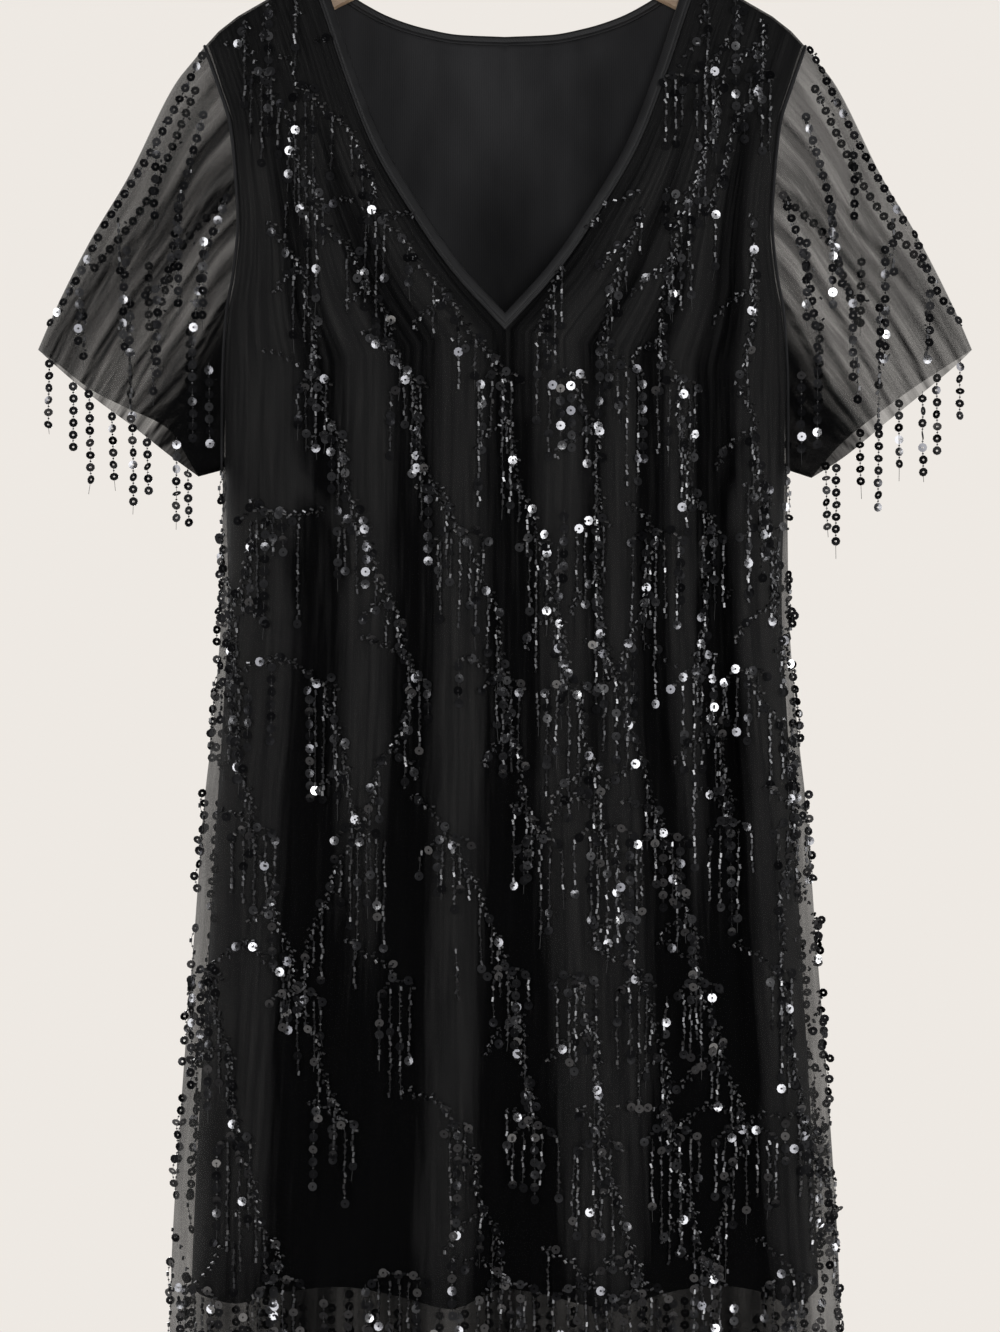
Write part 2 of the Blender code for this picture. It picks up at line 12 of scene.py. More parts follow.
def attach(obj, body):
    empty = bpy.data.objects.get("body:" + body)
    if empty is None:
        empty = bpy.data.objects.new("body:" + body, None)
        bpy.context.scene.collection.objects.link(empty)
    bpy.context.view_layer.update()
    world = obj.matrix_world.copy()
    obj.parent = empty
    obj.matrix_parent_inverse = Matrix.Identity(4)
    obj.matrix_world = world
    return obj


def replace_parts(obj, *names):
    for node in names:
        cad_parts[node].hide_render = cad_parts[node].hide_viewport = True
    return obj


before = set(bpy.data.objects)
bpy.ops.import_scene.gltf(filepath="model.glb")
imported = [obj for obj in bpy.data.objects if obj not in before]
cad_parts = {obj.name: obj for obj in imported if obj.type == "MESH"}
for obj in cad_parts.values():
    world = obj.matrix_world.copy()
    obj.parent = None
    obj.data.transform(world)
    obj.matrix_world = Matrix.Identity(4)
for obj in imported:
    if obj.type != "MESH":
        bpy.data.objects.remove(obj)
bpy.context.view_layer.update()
print("frame loaded:", len(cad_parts), "nodes")

sideSign = {"front": -1, "back": 1}
halfSign = {"left": -1, "right": 1}

dressForm = {
    "shoulderX": [0, 136, 160, 178, 198, 212, 222],
    "shoulderZ": [-58, -121, -131, -142.5, -154, -165, -176],
    "widthZ": [-176, -210, -236, -272, -307, -343, -378, -430, -490, -586, -674, -738, -838, -900,
               -968, -1075, -1190],
    "net": [222, 210, 202, 198, 196, 199, 205, 208, 209, 210, 216, 223, 230.5, 235.5, 240.5, 247, 250],
    "lining": [220, 208.5, 200.5, 196.5, 194.5, 197.5, 203.5, 206.5, 207, 205, 209, 213, 219, 222.5,
               226.5, 231.5, 235],
    "drop": [10, 60, 130, 230, 340, 700, 1100],
    "front": [10, 18, 28, 38, 44, 46, 48],
    "back": [10, 14, 19, 25, 29, 32, 34],
    "armholeZ": [-176, -256, -346, -388, -428, -490],
    "armholeDepth": [12, 14, 15, 13, 10, 0],
    "shoulderRoll": 10,
    "sidePower": 2.6,
    "underarmZ": -490,
    "layerStep": 1.45,
    "layerEase": 2.2,
    "seamGap": 0.3,
    "skirtRows": [-670, -760, -850, -940, -1020],
    "liningHem": -1095,
    "netHem": -1190,
    "hemWave": 0.6,
    "foldHeights": [-230, -350, -700, -1150],
    "foldDepth": 1.35,
    "creaseDepth": 1.9,
}

neckLine = {
    "front": {
        "x": [136, 135, 133, 126.2, 109.5, 90, 61.3, 32.4, 0],
        "z": [-121, -124, -131, -150, -200, -250, -300, -342, -378.3],
        "edge": [-176, -179, -186, -212, -256, -302, -346, -388, -428],
    },
    "back": {
        "x": [136, 134.5, 131, 105, 85, 60, 33, 0],
        "z": [-121, -122, -124.4, -142, -152, -159.8, -164.5, -165.7],
        "edge": [-176, -179, -186, -206, -226, -246, -266, -290],
    },
}

upperRows = {
    "front": {"centre": [-435, -510, -590], "edge": [-490, -540, -600]},
    "back": {"centre": [-220, -290, -370, -445, -520, -595], "edge": [-340, -390, -440, -490, -545, -605]},
}

folds = {
    "front": {
        "across": [-1, -.92, -.80, -.65, -.48, -.31, -.16, 0, .11, .22, .30, .40, .50, .62, .73, .85, .94, 1],
        "chest": [0, 1, 1.5, -1.5, 1, -2, 2, -1, 0, 1.5, -1, 2, -2, 2, -5, 2, 1, 0],
        "waist": [0, 2, 4, -4, 4, -4, 5, -3, 1, 5, -2, 5, -4, 4, -9, 5, 2, 0],
        "hem": [0, 4, 9, -3, -9, -1, 9, -8, -4, 5, 9, 2, -5, -9, -4, 10, 4, 0],
    },
    "back": {
        "across": [-1, -.92, -.77, -.61, -.45, -.29, -.14, 0, .15, .31, .46, .62, .78, .92, 1],
        "chest": [0, 1, 2, -2, 1, -1, 1, -1, 2, -1, 2, -2, 2, 1, 0],
        "waist": [0, 2, 4, -4, 4, -4, 4, -2, 5, -4, 4, -5, 4, 2, 0],
        "hem": [0, 3, 8, -6, 6, -7, 6, -4, 7, -8, 7, -7, 9, 3, 0],
    },
}

# Soft ridges (positive) and troughs listed from one end to the other.
creaseColumns = ("x0", "z0", "x1", "z1", "width", "height")
creases = {
    "front": [
        (-190, -455, -95, -560, 9, 1.6),
        (-196, -480, -120, -640, 8, -1.4),
        (196, -470, 120, -600, 9, 1.8),
        (190, -440, 150, -520, 7, -1.6),
        (-150, -215, -120, -400, 8, 1.2),
        (148, -230, 128, -420, 9, 1.3),
        (-30, -430, -42, -690, 8, 1.6),
        (14, -450, 22, -720, 7, -1.8),
        (60, -560, 76, -900, 9, 1.7),
        (-88, -640, -102, -960, 8, 1.6),
        (-70, -700, -62, -1040, 6, -1.8),
        (112, -700, 104, -1020, 7, 1.5),
        (-170, -820, -182, -1090, 7, 1.4),
        (182, -700, 196, -1060, 7, 1.6),
    ],
    "back": [
        (-185, -440, -90, -600, 10, 1.6),
        (185, -440, 100, -590, 10, 1.7),
        (-60, -260, -66, -620, 9, -1.2),
        (40, -300, 52, -700, 9, 1.3),
        (-120, -700, -130, -1050, 8, 1.5),
        (90, -640, 96, -1040, 8, -1.6),
        (10, -700, -4, -1080, 8, 1.5),
        (170, -760, 180, -1080, 7, 1.5),
    ],
}


def curveThrough(places, values, at):
    # a smooth curve through a table, which never swings past its values
    x = np.asarray(places, float)
    y = np.asarray(values, float)
    if x[0] > x[-1]:
        x, y = x[::-1], y[::-1]
    at = np.asarray(at, float)
    step = np.diff(x)
    rise = np.diff(y) / step
    slope = np.zeros(len(x))
    both = rise[:-1] * rise[1:]
    slope[1:-1] = np.where(both > 0, 2 * both / (rise[:-1] + rise[1:] + (both <= 0)), 0)
    slope[0], slope[-1] = rise[0], rise[-1]
    i = np.clip(np.searchsorted(x, at) - 1, 0, len(x) - 2)
    t = np.clip((at - x[i]) / step[i], 0, 1)
    return (y[i] * (1 + 2 * t) * (1 - t) ** 2 + slope[i] * step[i] * t * (1 - t) ** 2
            + y[i + 1] * t * t * (3 - 2 * t) + slope[i + 1] * step[i] * t * t * (t - 1))


def shoulderHeight(x):
    return np.interp(np.abs(x), dressForm["shoulderX"], dressForm["shoulderZ"])


def shoulderStretch(x):
    slope = (shoulderHeight(np.abs(x) + 1) - shoulderHeight(np.abs(x) - 1)) / 2
    return np.hypot(1, slope)


def halfWidth(layer, z):
    return curveThrough(dressForm["widthZ"], dressForm[layer], z)


def foldAt(side, across, z):
    table = folds[side]
    heights = [np.zeros_like(across)]
    heights += [curveThrough(table["across"], table[level], across) for level in ("chest", "waist", "hem")]
    marks = [-mark for mark in dressForm["foldHeights"]]
    down = np.clip(-z, marks[0], marks[-1])
    total = np.zeros_like(across)
    for i in range(3):
        t = np.clip((down - marks[i]) / (marks[i + 1] - marks[i]), 0, 1)
        inside = (down >= marks[i]) & ((down < marks[i + 1]) | (i == 2))
        total = np.where(inside, heights[i] + (heights[i + 1] - heights[i]) * t, total)
    return total * dressForm["foldDepth"]


def creaseAt(side, x, z):
    total = np.zeros_like(x)
    for row in creases[side]:
        crease = dict(zip(creaseColumns, row))
        dx, dz = crease["x1"] - crease["x0"], crease["z1"] - crease["z0"]
        length = math.hypot(dx, dz)
        along = ((x - crease["x0"]) * dx + (z - crease["z0"]) * dz) / length
        aside = ((x - crease["x0"]) * dz - (z - crease["z0"]) * dx) / length
        t = np.clip(along / length, 0, 1)
        fade = np.where((along > 0) & (along < length), np.sin(np.pi * t) ** 0.7, 0)
        total = total + crease["height"] * fade * np.exp(-(aside / crease["width"]) ** 2)
    return total * dressForm["creaseDepth"]


# painted shade in the fold troughs: how deep the troughs are and how strongly they darken
troughShading = {
    "deepest": [1.0, 3.0, 6.5, 10.5],                   # at the fold heights
    "strength": ([300, 450, 750, 1000], [0.60, 0.74, 0.92, 1.0]),
    "backStrength": ([300, 620], [0.35, 1.0]),
    "begin": ([450, 850], [-0.45, -0.80]),              # share of the deepest where the dark sets in
    "full": 0.50,
}


def troughShadeAt(side, x, z, across):
    # up to 1 at the bottom of a trough and 0 on a ridge: painted shade darkens the cloth there, and the net is
    # drawn closer there
    deepest = np.interp(-z, [-mark for mark in dressForm["foldHeights"]], troughShading["deepest"])
    height = (foldAt(side, across, z) + creaseAt(side, x, z)) / deepest
    strength = np.interp(-z, *troughShading["strength"])
    if side == "back":
        strength = strength * np.interp(-z, *troughShading["backStrength"])
    return smoothStep(np.interp(-z, *troughShading["begin"]), troughShading["full"], -height) * strength


def clothPoint(side, x, z, across, out, wide):
    # a point of the worn surface, moved out of it by a distance
    roll = dressForm["shoulderRoll"]
    drop = np.maximum(shoulderHeight(x) - z, 0)
    up = np.clip((roll - drop) / roll, 0, 1)
    turn = np.sqrt(1 - up ** 2)
    depth = np.where(drop < roll, roll * turn, curveThrough(dressForm["drop"], dressForm[side], drop))
    armhole = np.minimum(curveThrough(dressForm["armholeZ"], dressForm["armholeDepth"], z), depth)
    armhole = np.where(z > dressForm["underarmZ"], armhole, 0)
    share = np.clip(np.abs(x) / wide, 0, 1)
    flank = np.sqrt(1 - share ** dressForm["sidePower"])
    depth = armhole + (depth - armhole) * flank + foldAt(side, across, z)
    depth = depth + creaseAt(side, x, z) * np.minimum(flank * 2, 1) * turn + out * turn
    depth = np.maximum(depth, dressForm["seamGap"] / 2)
    return np.stack([x, sideSign[side] * depth, z + out * up * shoulderStretch(x)], axis=-1)


def neckEdge(side, offset):
    # the neck line moved out by a distance, with its corner kept sharp at the V
    xs, zs = neckLine[side]["x"], neckLine[side]["z"]
    shoulder = Vector((24, -10)).normalized()
    turns = [shoulder]
    for i in range(1, len(xs) - 1):
        run = Vector((xs[i + 1] - xs[i], zs[i + 1] - zs[i])).normalized()
        turns.append(Vector((-run.y, run.x)))
    turns.append(Vector((-turns[-1].x, turns[-1].y)))
    outX, outZ = [xs[0] + shoulder.x * offset], [0]
    outZ[0] = float(shoulderHeight(outX[0]))
    for i in range(1, len(xs)):
        middle = (turns[i - 1] + turns[i]).normalized()
        middle = middle / max(middle.dot(turns[i]), 0.5)
        outX.append(xs[i] + middle.x * offset)
        outZ.append(zs[i] + middle.y * offset)
    return outX, outZ


def rowAt(side, layer, row):
    # inner end and outer height of a row, counted from the shoulder seam down
    edgeX, edgeZ = neckEdge(side, binding["width"] - binding["overlap"])
    neckRows = len(edgeX)
    below = dressForm["skirtRows"] + [dressForm["liningHem"]]
    if layer == "net":
        below = below + [dressForm["netHem"]]
    centre = [edgeZ[-1]] + upperRows[side]["centre"] + below
    outer = neckLine[side]["edge"] + upperRows[side]["edge"] + below
    neckIndex = np.arange(neckRows)
    bodyIndex = np.arange(neckRows - 1, neckRows - 1 + len(centre))
    atNeck = row < neckRows - 1
    x = np.where(atNeck, curveThrough(neckIndex, edgeX, row), 0)
    z = np.where(atNeck, curveThrough(neckIndex, edgeZ, row), curveThrough(bodyIndex, centre, row))
    return x, z, curveThrough(np.arange(len(outer)), outer, row), atNeck, np.array(outer)


def smoothStep(low, high, at):
    t = np.clip((at - low) / (high - low), 0, 1)
    return t * t * (3 - 2 * t)


def panelPoint(side, layer, sign, share, row):
    # a panel's point by its share of the way out from the neck or centre line, and its row
    innerX, innerZ, edgeZ, atNeck, _ = rowAt(side, layer, row)
    outerX, ownX = halfWidth("net", edgeZ), halfWidth(layer, edgeZ)
    x = innerX + (outerX - innerX) * share - (outerX - ownX) * np.clip((share - 0.9) / 0.1, 0, 1)
    z = innerZ + (edgeZ - innerZ) * share
    topLine = shoulderHeight(innerX) + (shoulderHeight(outerX) - shoulderHeight(innerX)) * share
    z = z + (shoulderHeight(x) - topLine) * np.clip((6 - row) / 4, 0, 1)
    hemFold = curveThrough(folds[side]["across"], folds[side]["hem"], sign * share)
    lastSkirt = dressForm["skirtRows"][-1]
    hemShare = np.clip((lastSkirt - edgeZ) / (lastSkirt - dressForm["liningHem"]), 0, 1)
    z = z - dressForm["hemWave"] * hemFold * hemShare
    out = np.zeros_like(x)
    if layer == "lining":
        away = smoothStep(0, 0.1, 1 - share) * np.where(atNeck, smoothStep(0, 0.1, share), 1)
        out = -dressForm["layerStep"] - dressForm["layerEase"] * away * np.clip(row / 5, 0, 1)
    wide = np.maximum(halfWidth(layer, z), x)
    return clothPoint(side, sign * x, z, sign * share, out, wide)


# finishes, all on object coordinates or a piece's own attribute
def addNode(tree, kind, inputs=(), **settings):
    node = tree.nodes.new("ShaderNode" + kind)
    for key, value in settings.items():
        setattr(node, key, value)
    for socket, value in dict(inputs).items():
        if isinstance(value, bpy.types.NodeSocket):
            tree.links.new(value, node.inputs[socket])
        else:
            node.inputs[socket].default_value = value
    return node


def startMaterial(name, **sockets):
    material = bpy.data.materials.new(name)
    material.use_nodes = True
    tree = material.node_tree
    shader = tree.nodes["Principled BSDF"]
    for socket, value in sockets.items():
        shader.inputs[socket.replace("_", " ")].default_value = value
    place = addNode(tree, "TexCoord").outputs["Object"]
    return material, tree, shader, place


def stretched(tree, place, scale):
    return addNode(tree, "Mapping", {"Vector": place, "Scale": scale}).outputs["Vector"]


def noise(tree, place, scale, detail=2, roughness=0.5):
    settings = {"Vector": place, "Scale": scale, "Detail": detail, "Roughness": roughness}
    return addNode(tree, "TexNoise", settings).outputs["Fac"]


def waves(tree, place, scale, direction, **inputs):
    inputs.update(Vector=place, Scale=scale)
    return addNode(tree, "TexWave", inputs, bands_direction=direction).outputs["Fac"]


def attribute(tree, name):
    return addNode(tree, "Attribute", attribute_name=name).outputs["Fac"]


def blendColours(tree, factor, stops):
    node = addNode(tree, "ValToRGB", {"Fac": factor})
    elements = node.color_ramp.elements
    while len(elements) < len(stops):
        elements.new(0.5)
    for element, (at, colour) in zip(elements, stops):
        element.position = at
        element.color = (*colour, 1)
    return node.outputs["Color"]


def toRange(tree, value, low, high, start=0, end=1):
    settings = {"Value": value, "From Min": start, "From Max": end, "To Min": low, "To Max": high}
    return addNode(tree, "MapRange", settings).outputs["Result"]


def combine(tree, first, second, operation="ADD"):
    return addNode(tree, "Math", {0: first, 1: second}, operation=operation).outputs["Value"]


def times(tree, value, factor):
    return combine(tree, value, factor, "MULTIPLY")


def paint(tree, shader, factor, stops):
    # the stops name the colours in finish
    colours = [(at, finish[name]) for at, name in stops.items()]
    tree.links.new(blendColours(tree, factor, colours), shader.inputs["Base Color"])


def roughen(tree, shader, factor, low, high):
    tree.links.new(toRange(tree, factor, low, high), shader.inputs["Roughness"])


def bumpFrom(tree, shader, height, strength, distance):
    bump = addNode(tree, "Bump", {"Height": height, "Strength": strength, "Distance": distance})
    tree.links.new(bump.outputs["Normal"], shader.inputs["Normal"])


finish = {
    # painted shade: the near-black colour at the bottom of the fold troughs
    "troughShade": (0.0010, 0.0010, 0.0012),
    "liningDark": (0.0120, 0.0120, 0.0128),
    "liningLight": (0.0262, 0.0262, 0.0275),
    "netDark": (0.0130, 0.0129, 0.0131),
    "netLight": (0.0278, 0.0273, 0.0268),
    "netFaceAlpha": (0.30, 0.94),
    "netCoverRange": 1.8,
    "bindingDark": (0.0080, 0.0080, 0.0085),
    "bindingLight": (0.0140, 0.0140, 0.0148),
    "sequinDark": (0.020, 0.020, 0.022),
    "sequinMiddle": (0.100, 0.100, 0.104),
    "sequinLight": (0.420, 0.420, 0.425),
    "sequinRough": 0.12,
    "beadRough": 0.31,
    "beadDark": (0.008, 0.008, 0.009),
    "beadMiddle": (0.050, 0.050, 0.052),
    "beadLight": (0.240, 0.240, 0.246),
    "threadDark": (0.006, 0.006, 0.006),
    "threadLight": (0.022, 0.022, 0.023),
    "woodDark": (0.235, 0.155, 0.098),
    "woodLight": (0.430, 0.315, 0.215),
    "steelDark": (0.42, 0.42, 0.43),
    "steelLight": (0.66, 0.66, 0.67),
}


def makeLiningFinish():
    material, tree, shader, place = startMaterial(
        "lining jersey", Roughness=0.62, Specular_IOR_Level=0.04, Sheen_Weight=0.01, Sheen_Roughness=0.4)
    cloud = noise(tree, stretched(tree, place, (1, 1, 0.35)), 26, 3)
    wale = waves(tree, place, 230, "X", Distortion=0.6, Detail=1)
    mixed = combine(tree, cloud, times(tree, wale, 0.18))
    # painted shade: the lining darker towards black in the fold troughs
    mixed = combine(tree, mixed, times(tree, attribute(tree, "gatherAndShade"), -0.62))
    paint(tree, shader, mixed, {0.0: "troughShade", 0.35: "liningDark", 0.80: "liningLight"})
    roughen(tree, shader, cloud, 0.54, 0.72)
    bumpFrom(tree, shader, wale, 0.25, 0.0002)
    return material


def makeNetFinish():
    # threads and streaks close the net; the gather attribute closes it further and darkens it with painted
    # shade in fold troughs and along sleeve folds
    material, tree, shader, place = startMaterial(
        "sheer net", Roughness=0.70, Specular_IOR_Level=0.04, Sheen_Weight=0.01, Sheen_Roughness=0.35)
    grain = addNode(tree, "UVMap", uv_map="grain").outputs["UV"]
    gatherAndShade = attribute(tree, "gatherAndShade")
    streak = noise(tree, stretched(tree, grain, (1, 0.045, 1)), 210, 4, 0.6)
    cloud = noise(tree, stretched(tree, grain, (1, 0.16, 1)), 52, 2)
    cells = addNode(tree, "TexVoronoi", {"Vector": place, "Scale": 620}, feature="DISTANCE_TO_EDGE")
    thread = toRange(tree, cells.outputs["Distance"], 1, 0, 0.03, 0.22)
    weave = combine(tree, toRange(tree, thread, 0.14, 0.22), toRange(tree, streak, -0.20, 0.80))
    cover = combine(tree, weave, combine(tree, toRange(tree, cloud, -0.55, 0.55), times(tree, gatherAndShade, 0.45)))
    low, high = finish["netFaceAlpha"]
    alpha = toRange(tree, cover, low, high, 0, finish["netCoverRange"])
    tree.links.new(alpha, shader.inputs["Alpha"])
    # painted shade: darker in the fold troughs and along the sleeve folds
    shade = combine(tree, streak, times(tree, gatherAndShade, -0.60))
    paint(tree, shader, shade, {0.0: "troughShade", 0.38: "netDark", 0.75: "netLight"})
    return material


def makeBindingFinish():
    material, tree, shader, place = startMaterial(
        "neck binding", Roughness=0.45, Specular_IOR_Level=0.16, Sheen_Weight=0.01, Sheen_Roughness=0.3)
    twill = waves(tree, place, 300, "DIAGONAL", Distortion=0.3)
    cloud = noise(tree, place, 60, 3)
    mixed = combine(tree, cloud, times(tree, twill, 0.25))
    paint(tree, shader, mixed, {0.4: "bindingDark", 0.9: "bindingLight"})
    roughen(tree, shader, cloud, 0.38, 0.55)
    bumpFrom(tree, shader, twill, 0.3, 0.0002)
    return material


def makeGlossFinish(name, stops, rough, metallic):
    # each sequin or bead has its own tone, kept in the piece's attribute
    material, tree, shader, place = startMaterial(name, Metallic=metallic, IOR=1.55)
    paint(tree, shader, attribute(tree, "tone"), stops)
    wear = noise(tree, place, 420, 2)
    roughen(tree, shader, wear, rough * 0.6, rough * 1.5)
    bumpFrom(tree, shader, wear, 0.03, 0.0004)
    return material


def makeThreadFinish():
    material, tree, shader, place = startMaterial("black thread", Roughness=0.75, Sheen_Weight=0.1)
    twist = waves(tree, place, 420, "Z", Distortion=2)
    paint(tree, shader, twist, {0: "threadDark", 1: "threadLight"})
    bumpFrom(tree, shader, twist, 0.3, 0.0002)
    return material


def makeWoodFinish():
    material, tree, shader, place = startMaterial("oiled wood", Coat_Weight=0.25, Coat_Roughness=0.3)
    grain = noise(tree, stretched(tree, place, (0.07, 1, 1)), 420, 5, 0.6)
    rings = waves(tree, stretched(tree, place, (0.12, 1, 1)), 26, "Z", Distortion=3.5, Detail=3)
    mixed = combine(tree, times(tree, grain, 0.6), times(tree, rings, 0.4))
    paint(tree, shader, mixed, {0.2: "woodDark", 0.75: "woodLight"})
    roughen(tree, shader, grain, 0.36, 0.56)
    bumpFrom(tree, shader, grain, 0.25, 0.0004)
    return material


def makeSteelFinish():
    material, tree, shader, place = startMaterial("hook steel", Metallic=1.0)
    smudge = noise(tree, place, 150, 4)
    paint(tree, shader, smudge, {0.3: "steelDark", 0.7: "steelLight"})
    roughen(tree, shader, smudge, 0.16, 0.34)
    bumpFrom(tree, shader, noise(tree, place, 900, 2), 0.05, 0.0002)
    return material


looks = {
    "lining": makeLiningFinish(),
    "net": makeNetFinish(),
    "binding": makeBindingFinish(),
    "sequin": makeGlossFinish("sequin gloss", {0: "sequinDark", 0.55: "sequinMiddle", 1: "sequinLight"},
                              finish["sequinRough"], 1.0),
    "bead": makeGlossFinish("bead glass", {0: "beadDark", 0.3: "beadMiddle", 1: "beadLight"},
                            finish["beadRough"], 0.85),
    "thread": makeThreadFinish(),
    "wood": makeWoodFinish(),
    "hook": makeSteelFinish(),
}
print("finishes made:", len(looks))


# making and finishing a piece
def addObject(name, data):
    added = bpy.data.objects.new(name, data)
    bpy.context.scene.collection.objects.link(added)
    return added


def placePiece(name, mesh, look):
    mesh.materials.append(looks[look])
    piece = addObject(name, mesh)
    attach(piece, "root")
    return piece


def newCloth():
    bm = bmesh.new()
    bm.loops.layers.uv.new("grain")
    bm.verts.layers.float.new("gatherAndShade")
    return bm


def mapGrain(bm, verts, across, down, gatherAndShade):
    # the cloth's own directions as a UV map in metres, and how closely it is gathered together with its painted
    # shade
    grain = bm.loops.layers.uv["grain"]
    denserAndDarker = bm.verts.layers.float["gatherAndShade"]
    for vert, u, v, g in zip(verts, across, down, gatherAndShade):
        vert[denserAndDarker] = g
        for loop in vert.link_loops:
            loop[grain].uv = (u * 0.001, v * 0.001)


def clothPiece(name, bm, look, wall):
    # the sheet in millimetres becomes a thin shell in metres, with its wall on the inner side
    bmesh.ops.remove_doubles(bm, verts=bm.verts, dist=0.02)
    bmesh.ops.recalc_face_normals(bm, faces=bm.faces)
    bm.normal_update()
    middle = sum((vert.co for vert in bm.verts), Vector()) / len(bm.verts)
    middle.y = 0
    outward = sum(face.normal.dot(face.calc_center_median() - middle) * face.calc_area() for face in bm.faces)
    if outward < 0:
        bmesh.ops.reverse_faces(bm, faces=bm.faces)
    tree = BVHTree.FromBMesh(bm)
    bmesh.ops.scale(bm, vec=(0.001, 0.001, 0.001), verts=bm.verts)
    mesh = bpy.data.meshes.new(name)
    bm.to_mesh(mesh)
    bm.free()
    mesh.shade_smooth()
    piece = placePiece(name, mesh, look)
    shell = piece.modifiers.new("cloth wall", "SOLIDIFY")
    shell.thickness = wall * 0.001
    shell.offset = -1
    return piece, tree


def clothGrid(bm, columns, rows):
    # a grid, with each vertex's share across from the left and down from the top
    grid = bmesh.ops.create_grid(bm, x_segments=columns, y_segments=rows, size=0.5)["verts"]
    return grid, np.array([vert.co.x + 0.5 for vert in grid]), np.array([0.5 - vert.co.y for vert in grid])


def moveGrid(grid, points):
    for vert, point in zip(grid, points):
        vert.co = point


panels = {
    "columns": 40,
    "rows": 130,
    "liningWall": 0.8,
    "netWall": 0.4,
    "leastRow": 14,
    "grainWidth": 240,
    "backGrain": 900,
    "lowDark": (600, 1000, 0.12),        # from here, to here, by so much: painted shade, the cloth darker towards the bottom
    "hemDense": (1040, 1110, 0.42),
    "sheerFrom": (490, 560),             # the side seams are see-through below the underarm
    "sheerShare": (0.86, 0.95),
    "sideSheer": 0.75,
}


def rowMarks(side, layer):
    # rows of the mesh, spread by the height that each row of the form has at the edge and the centre
    _, _, _, _, outer = rowAt(side, layer, np.array([0.0]))
    index = np.arange(len(outer), dtype=float)
    _, innerZ, _, _, _ = rowAt(side, layer, index)
    height = np.maximum((np.abs(np.diff(outer)) + np.abs(np.diff(innerZ))) / 2, panels["leastRow"])
    mark = np.concatenate([[0], np.cumsum(height)])
    return mark / mark[-1], index


def makePanel(side, layer):
    bm = newCloth()
    marks, index = rowMarks(side, layer)
    rows = np.interp(np.linspace(0, 1, panels["rows"] + 1), marks, index)
    tip = len(neckLine[side]["x"]) - 1
    rows[np.argmin(np.abs(rows - tip))] = tip     # a row of the mesh ends at the neck's lowest point
    for sign in halfSign.values():
        grid, share, low = clothGrid(bm, panels["columns"], panels["rows"])
        points = panelPoint(side, layer, sign, share, rows[np.rint(low * panels["rows"]).astype(int)])
        moveGrid(grid, points)
        down = -points[:, 2]
        begin, full, dark = panels["lowDark"]
        # painted shade in the fold troughs, and darker towards the bottom
        gatherAndShade = troughShadeAt(side, points[:, 0], points[:, 2], sign * share)
        gatherAndShade = gatherAndShade + dark * smoothStep(begin, full, down)
        if layer == "net":
            seam = smoothStep(*panels["sheerShare"], share) * smoothStep(*panels["sheerFrom"], down)
            gatherAndShade = gatherAndShade * (1 - seam) - panels["sideSheer"] * seam
            begin, full, denserAndDarker = panels["hemDense"]
            gatherAndShade = gatherAndShade + denserAndDarker * smoothStep(begin, full, down) * (1 - seam)
        u = sign * share * panels["grainWidth"] + (panels["backGrain"] if side == "back" else 0)
        mapGrain(bm, grid, u, points[:, 2], gatherAndShade)
    return clothPiece("cloth_" + layer + "_" + side, bm, layer, panels[layer + "Wall"])


binding = {
    "width": 8.6,
    "segments": 15,
    "along": 72,
    "overlap": 1.2,         # how far the cloth runs in under it
    "raise": 0.1,
    "crown": 1.25,
    "groove": 0.55,
    "grooveAt": 0.72,
    "grooveWidth": 0.07,
    "wall": 2.4,
}


def bindingPoint(side, sign, offset, row, lift=0):
    xs, zs = zip(*[neckEdge(side, edge) for edge in (0, binding["width"])])
    index = np.arange(len(xs[0]))
    t = offset / binding["width"]
    x = curveThrough(index, xs[0], row) * (1 - t) + curveThrough(index, xs[1], row) * t
    z = curveThrough(index, zs[0], row) * (1 - t) + curveThrough(index, zs[1], row) * t
    out = binding["raise"] + binding["crown"] * np.sqrt(np.clip(np.sin(np.pi * np.clip(t, 0, 1)), 0, 1)) + lift
    out = out - binding["groove"] * np.exp(-((t - binding["grooveAt"]) / binding["grooveWidth"]) ** 2)
    return clothPoint(side, sign * x, z, np.zeros_like(x), out, halfWidth("net", z))


def makeBinding(side):
    bm = bmesh.new()
    last = len(neckLine[side]["x"]) - 1
    for sign in halfSign.values():
        grid, share, low = clothGrid(bm, binding["segments"], binding["along"])
        moveGrid(grid, bindingPoint(side, sign, share * binding["width"], low * last))
    return clothPiece("binding_" + side, bm, "binding", binding["wall"])[0]


nets, linings, netTrees, liningTrees = {}, {}, {}, {}
for side in sideSign:
    linings[side], liningTrees[side] = makePanel(side, "lining")
    nets[side], netTrees[side] = makePanel(side, "net")
    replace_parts(linings[side], "lining_" + side)
    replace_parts(nets[side], "net_" + side)
    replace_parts(makeBinding(side), "neck_binding_" + side)
print("panels and bindings made")


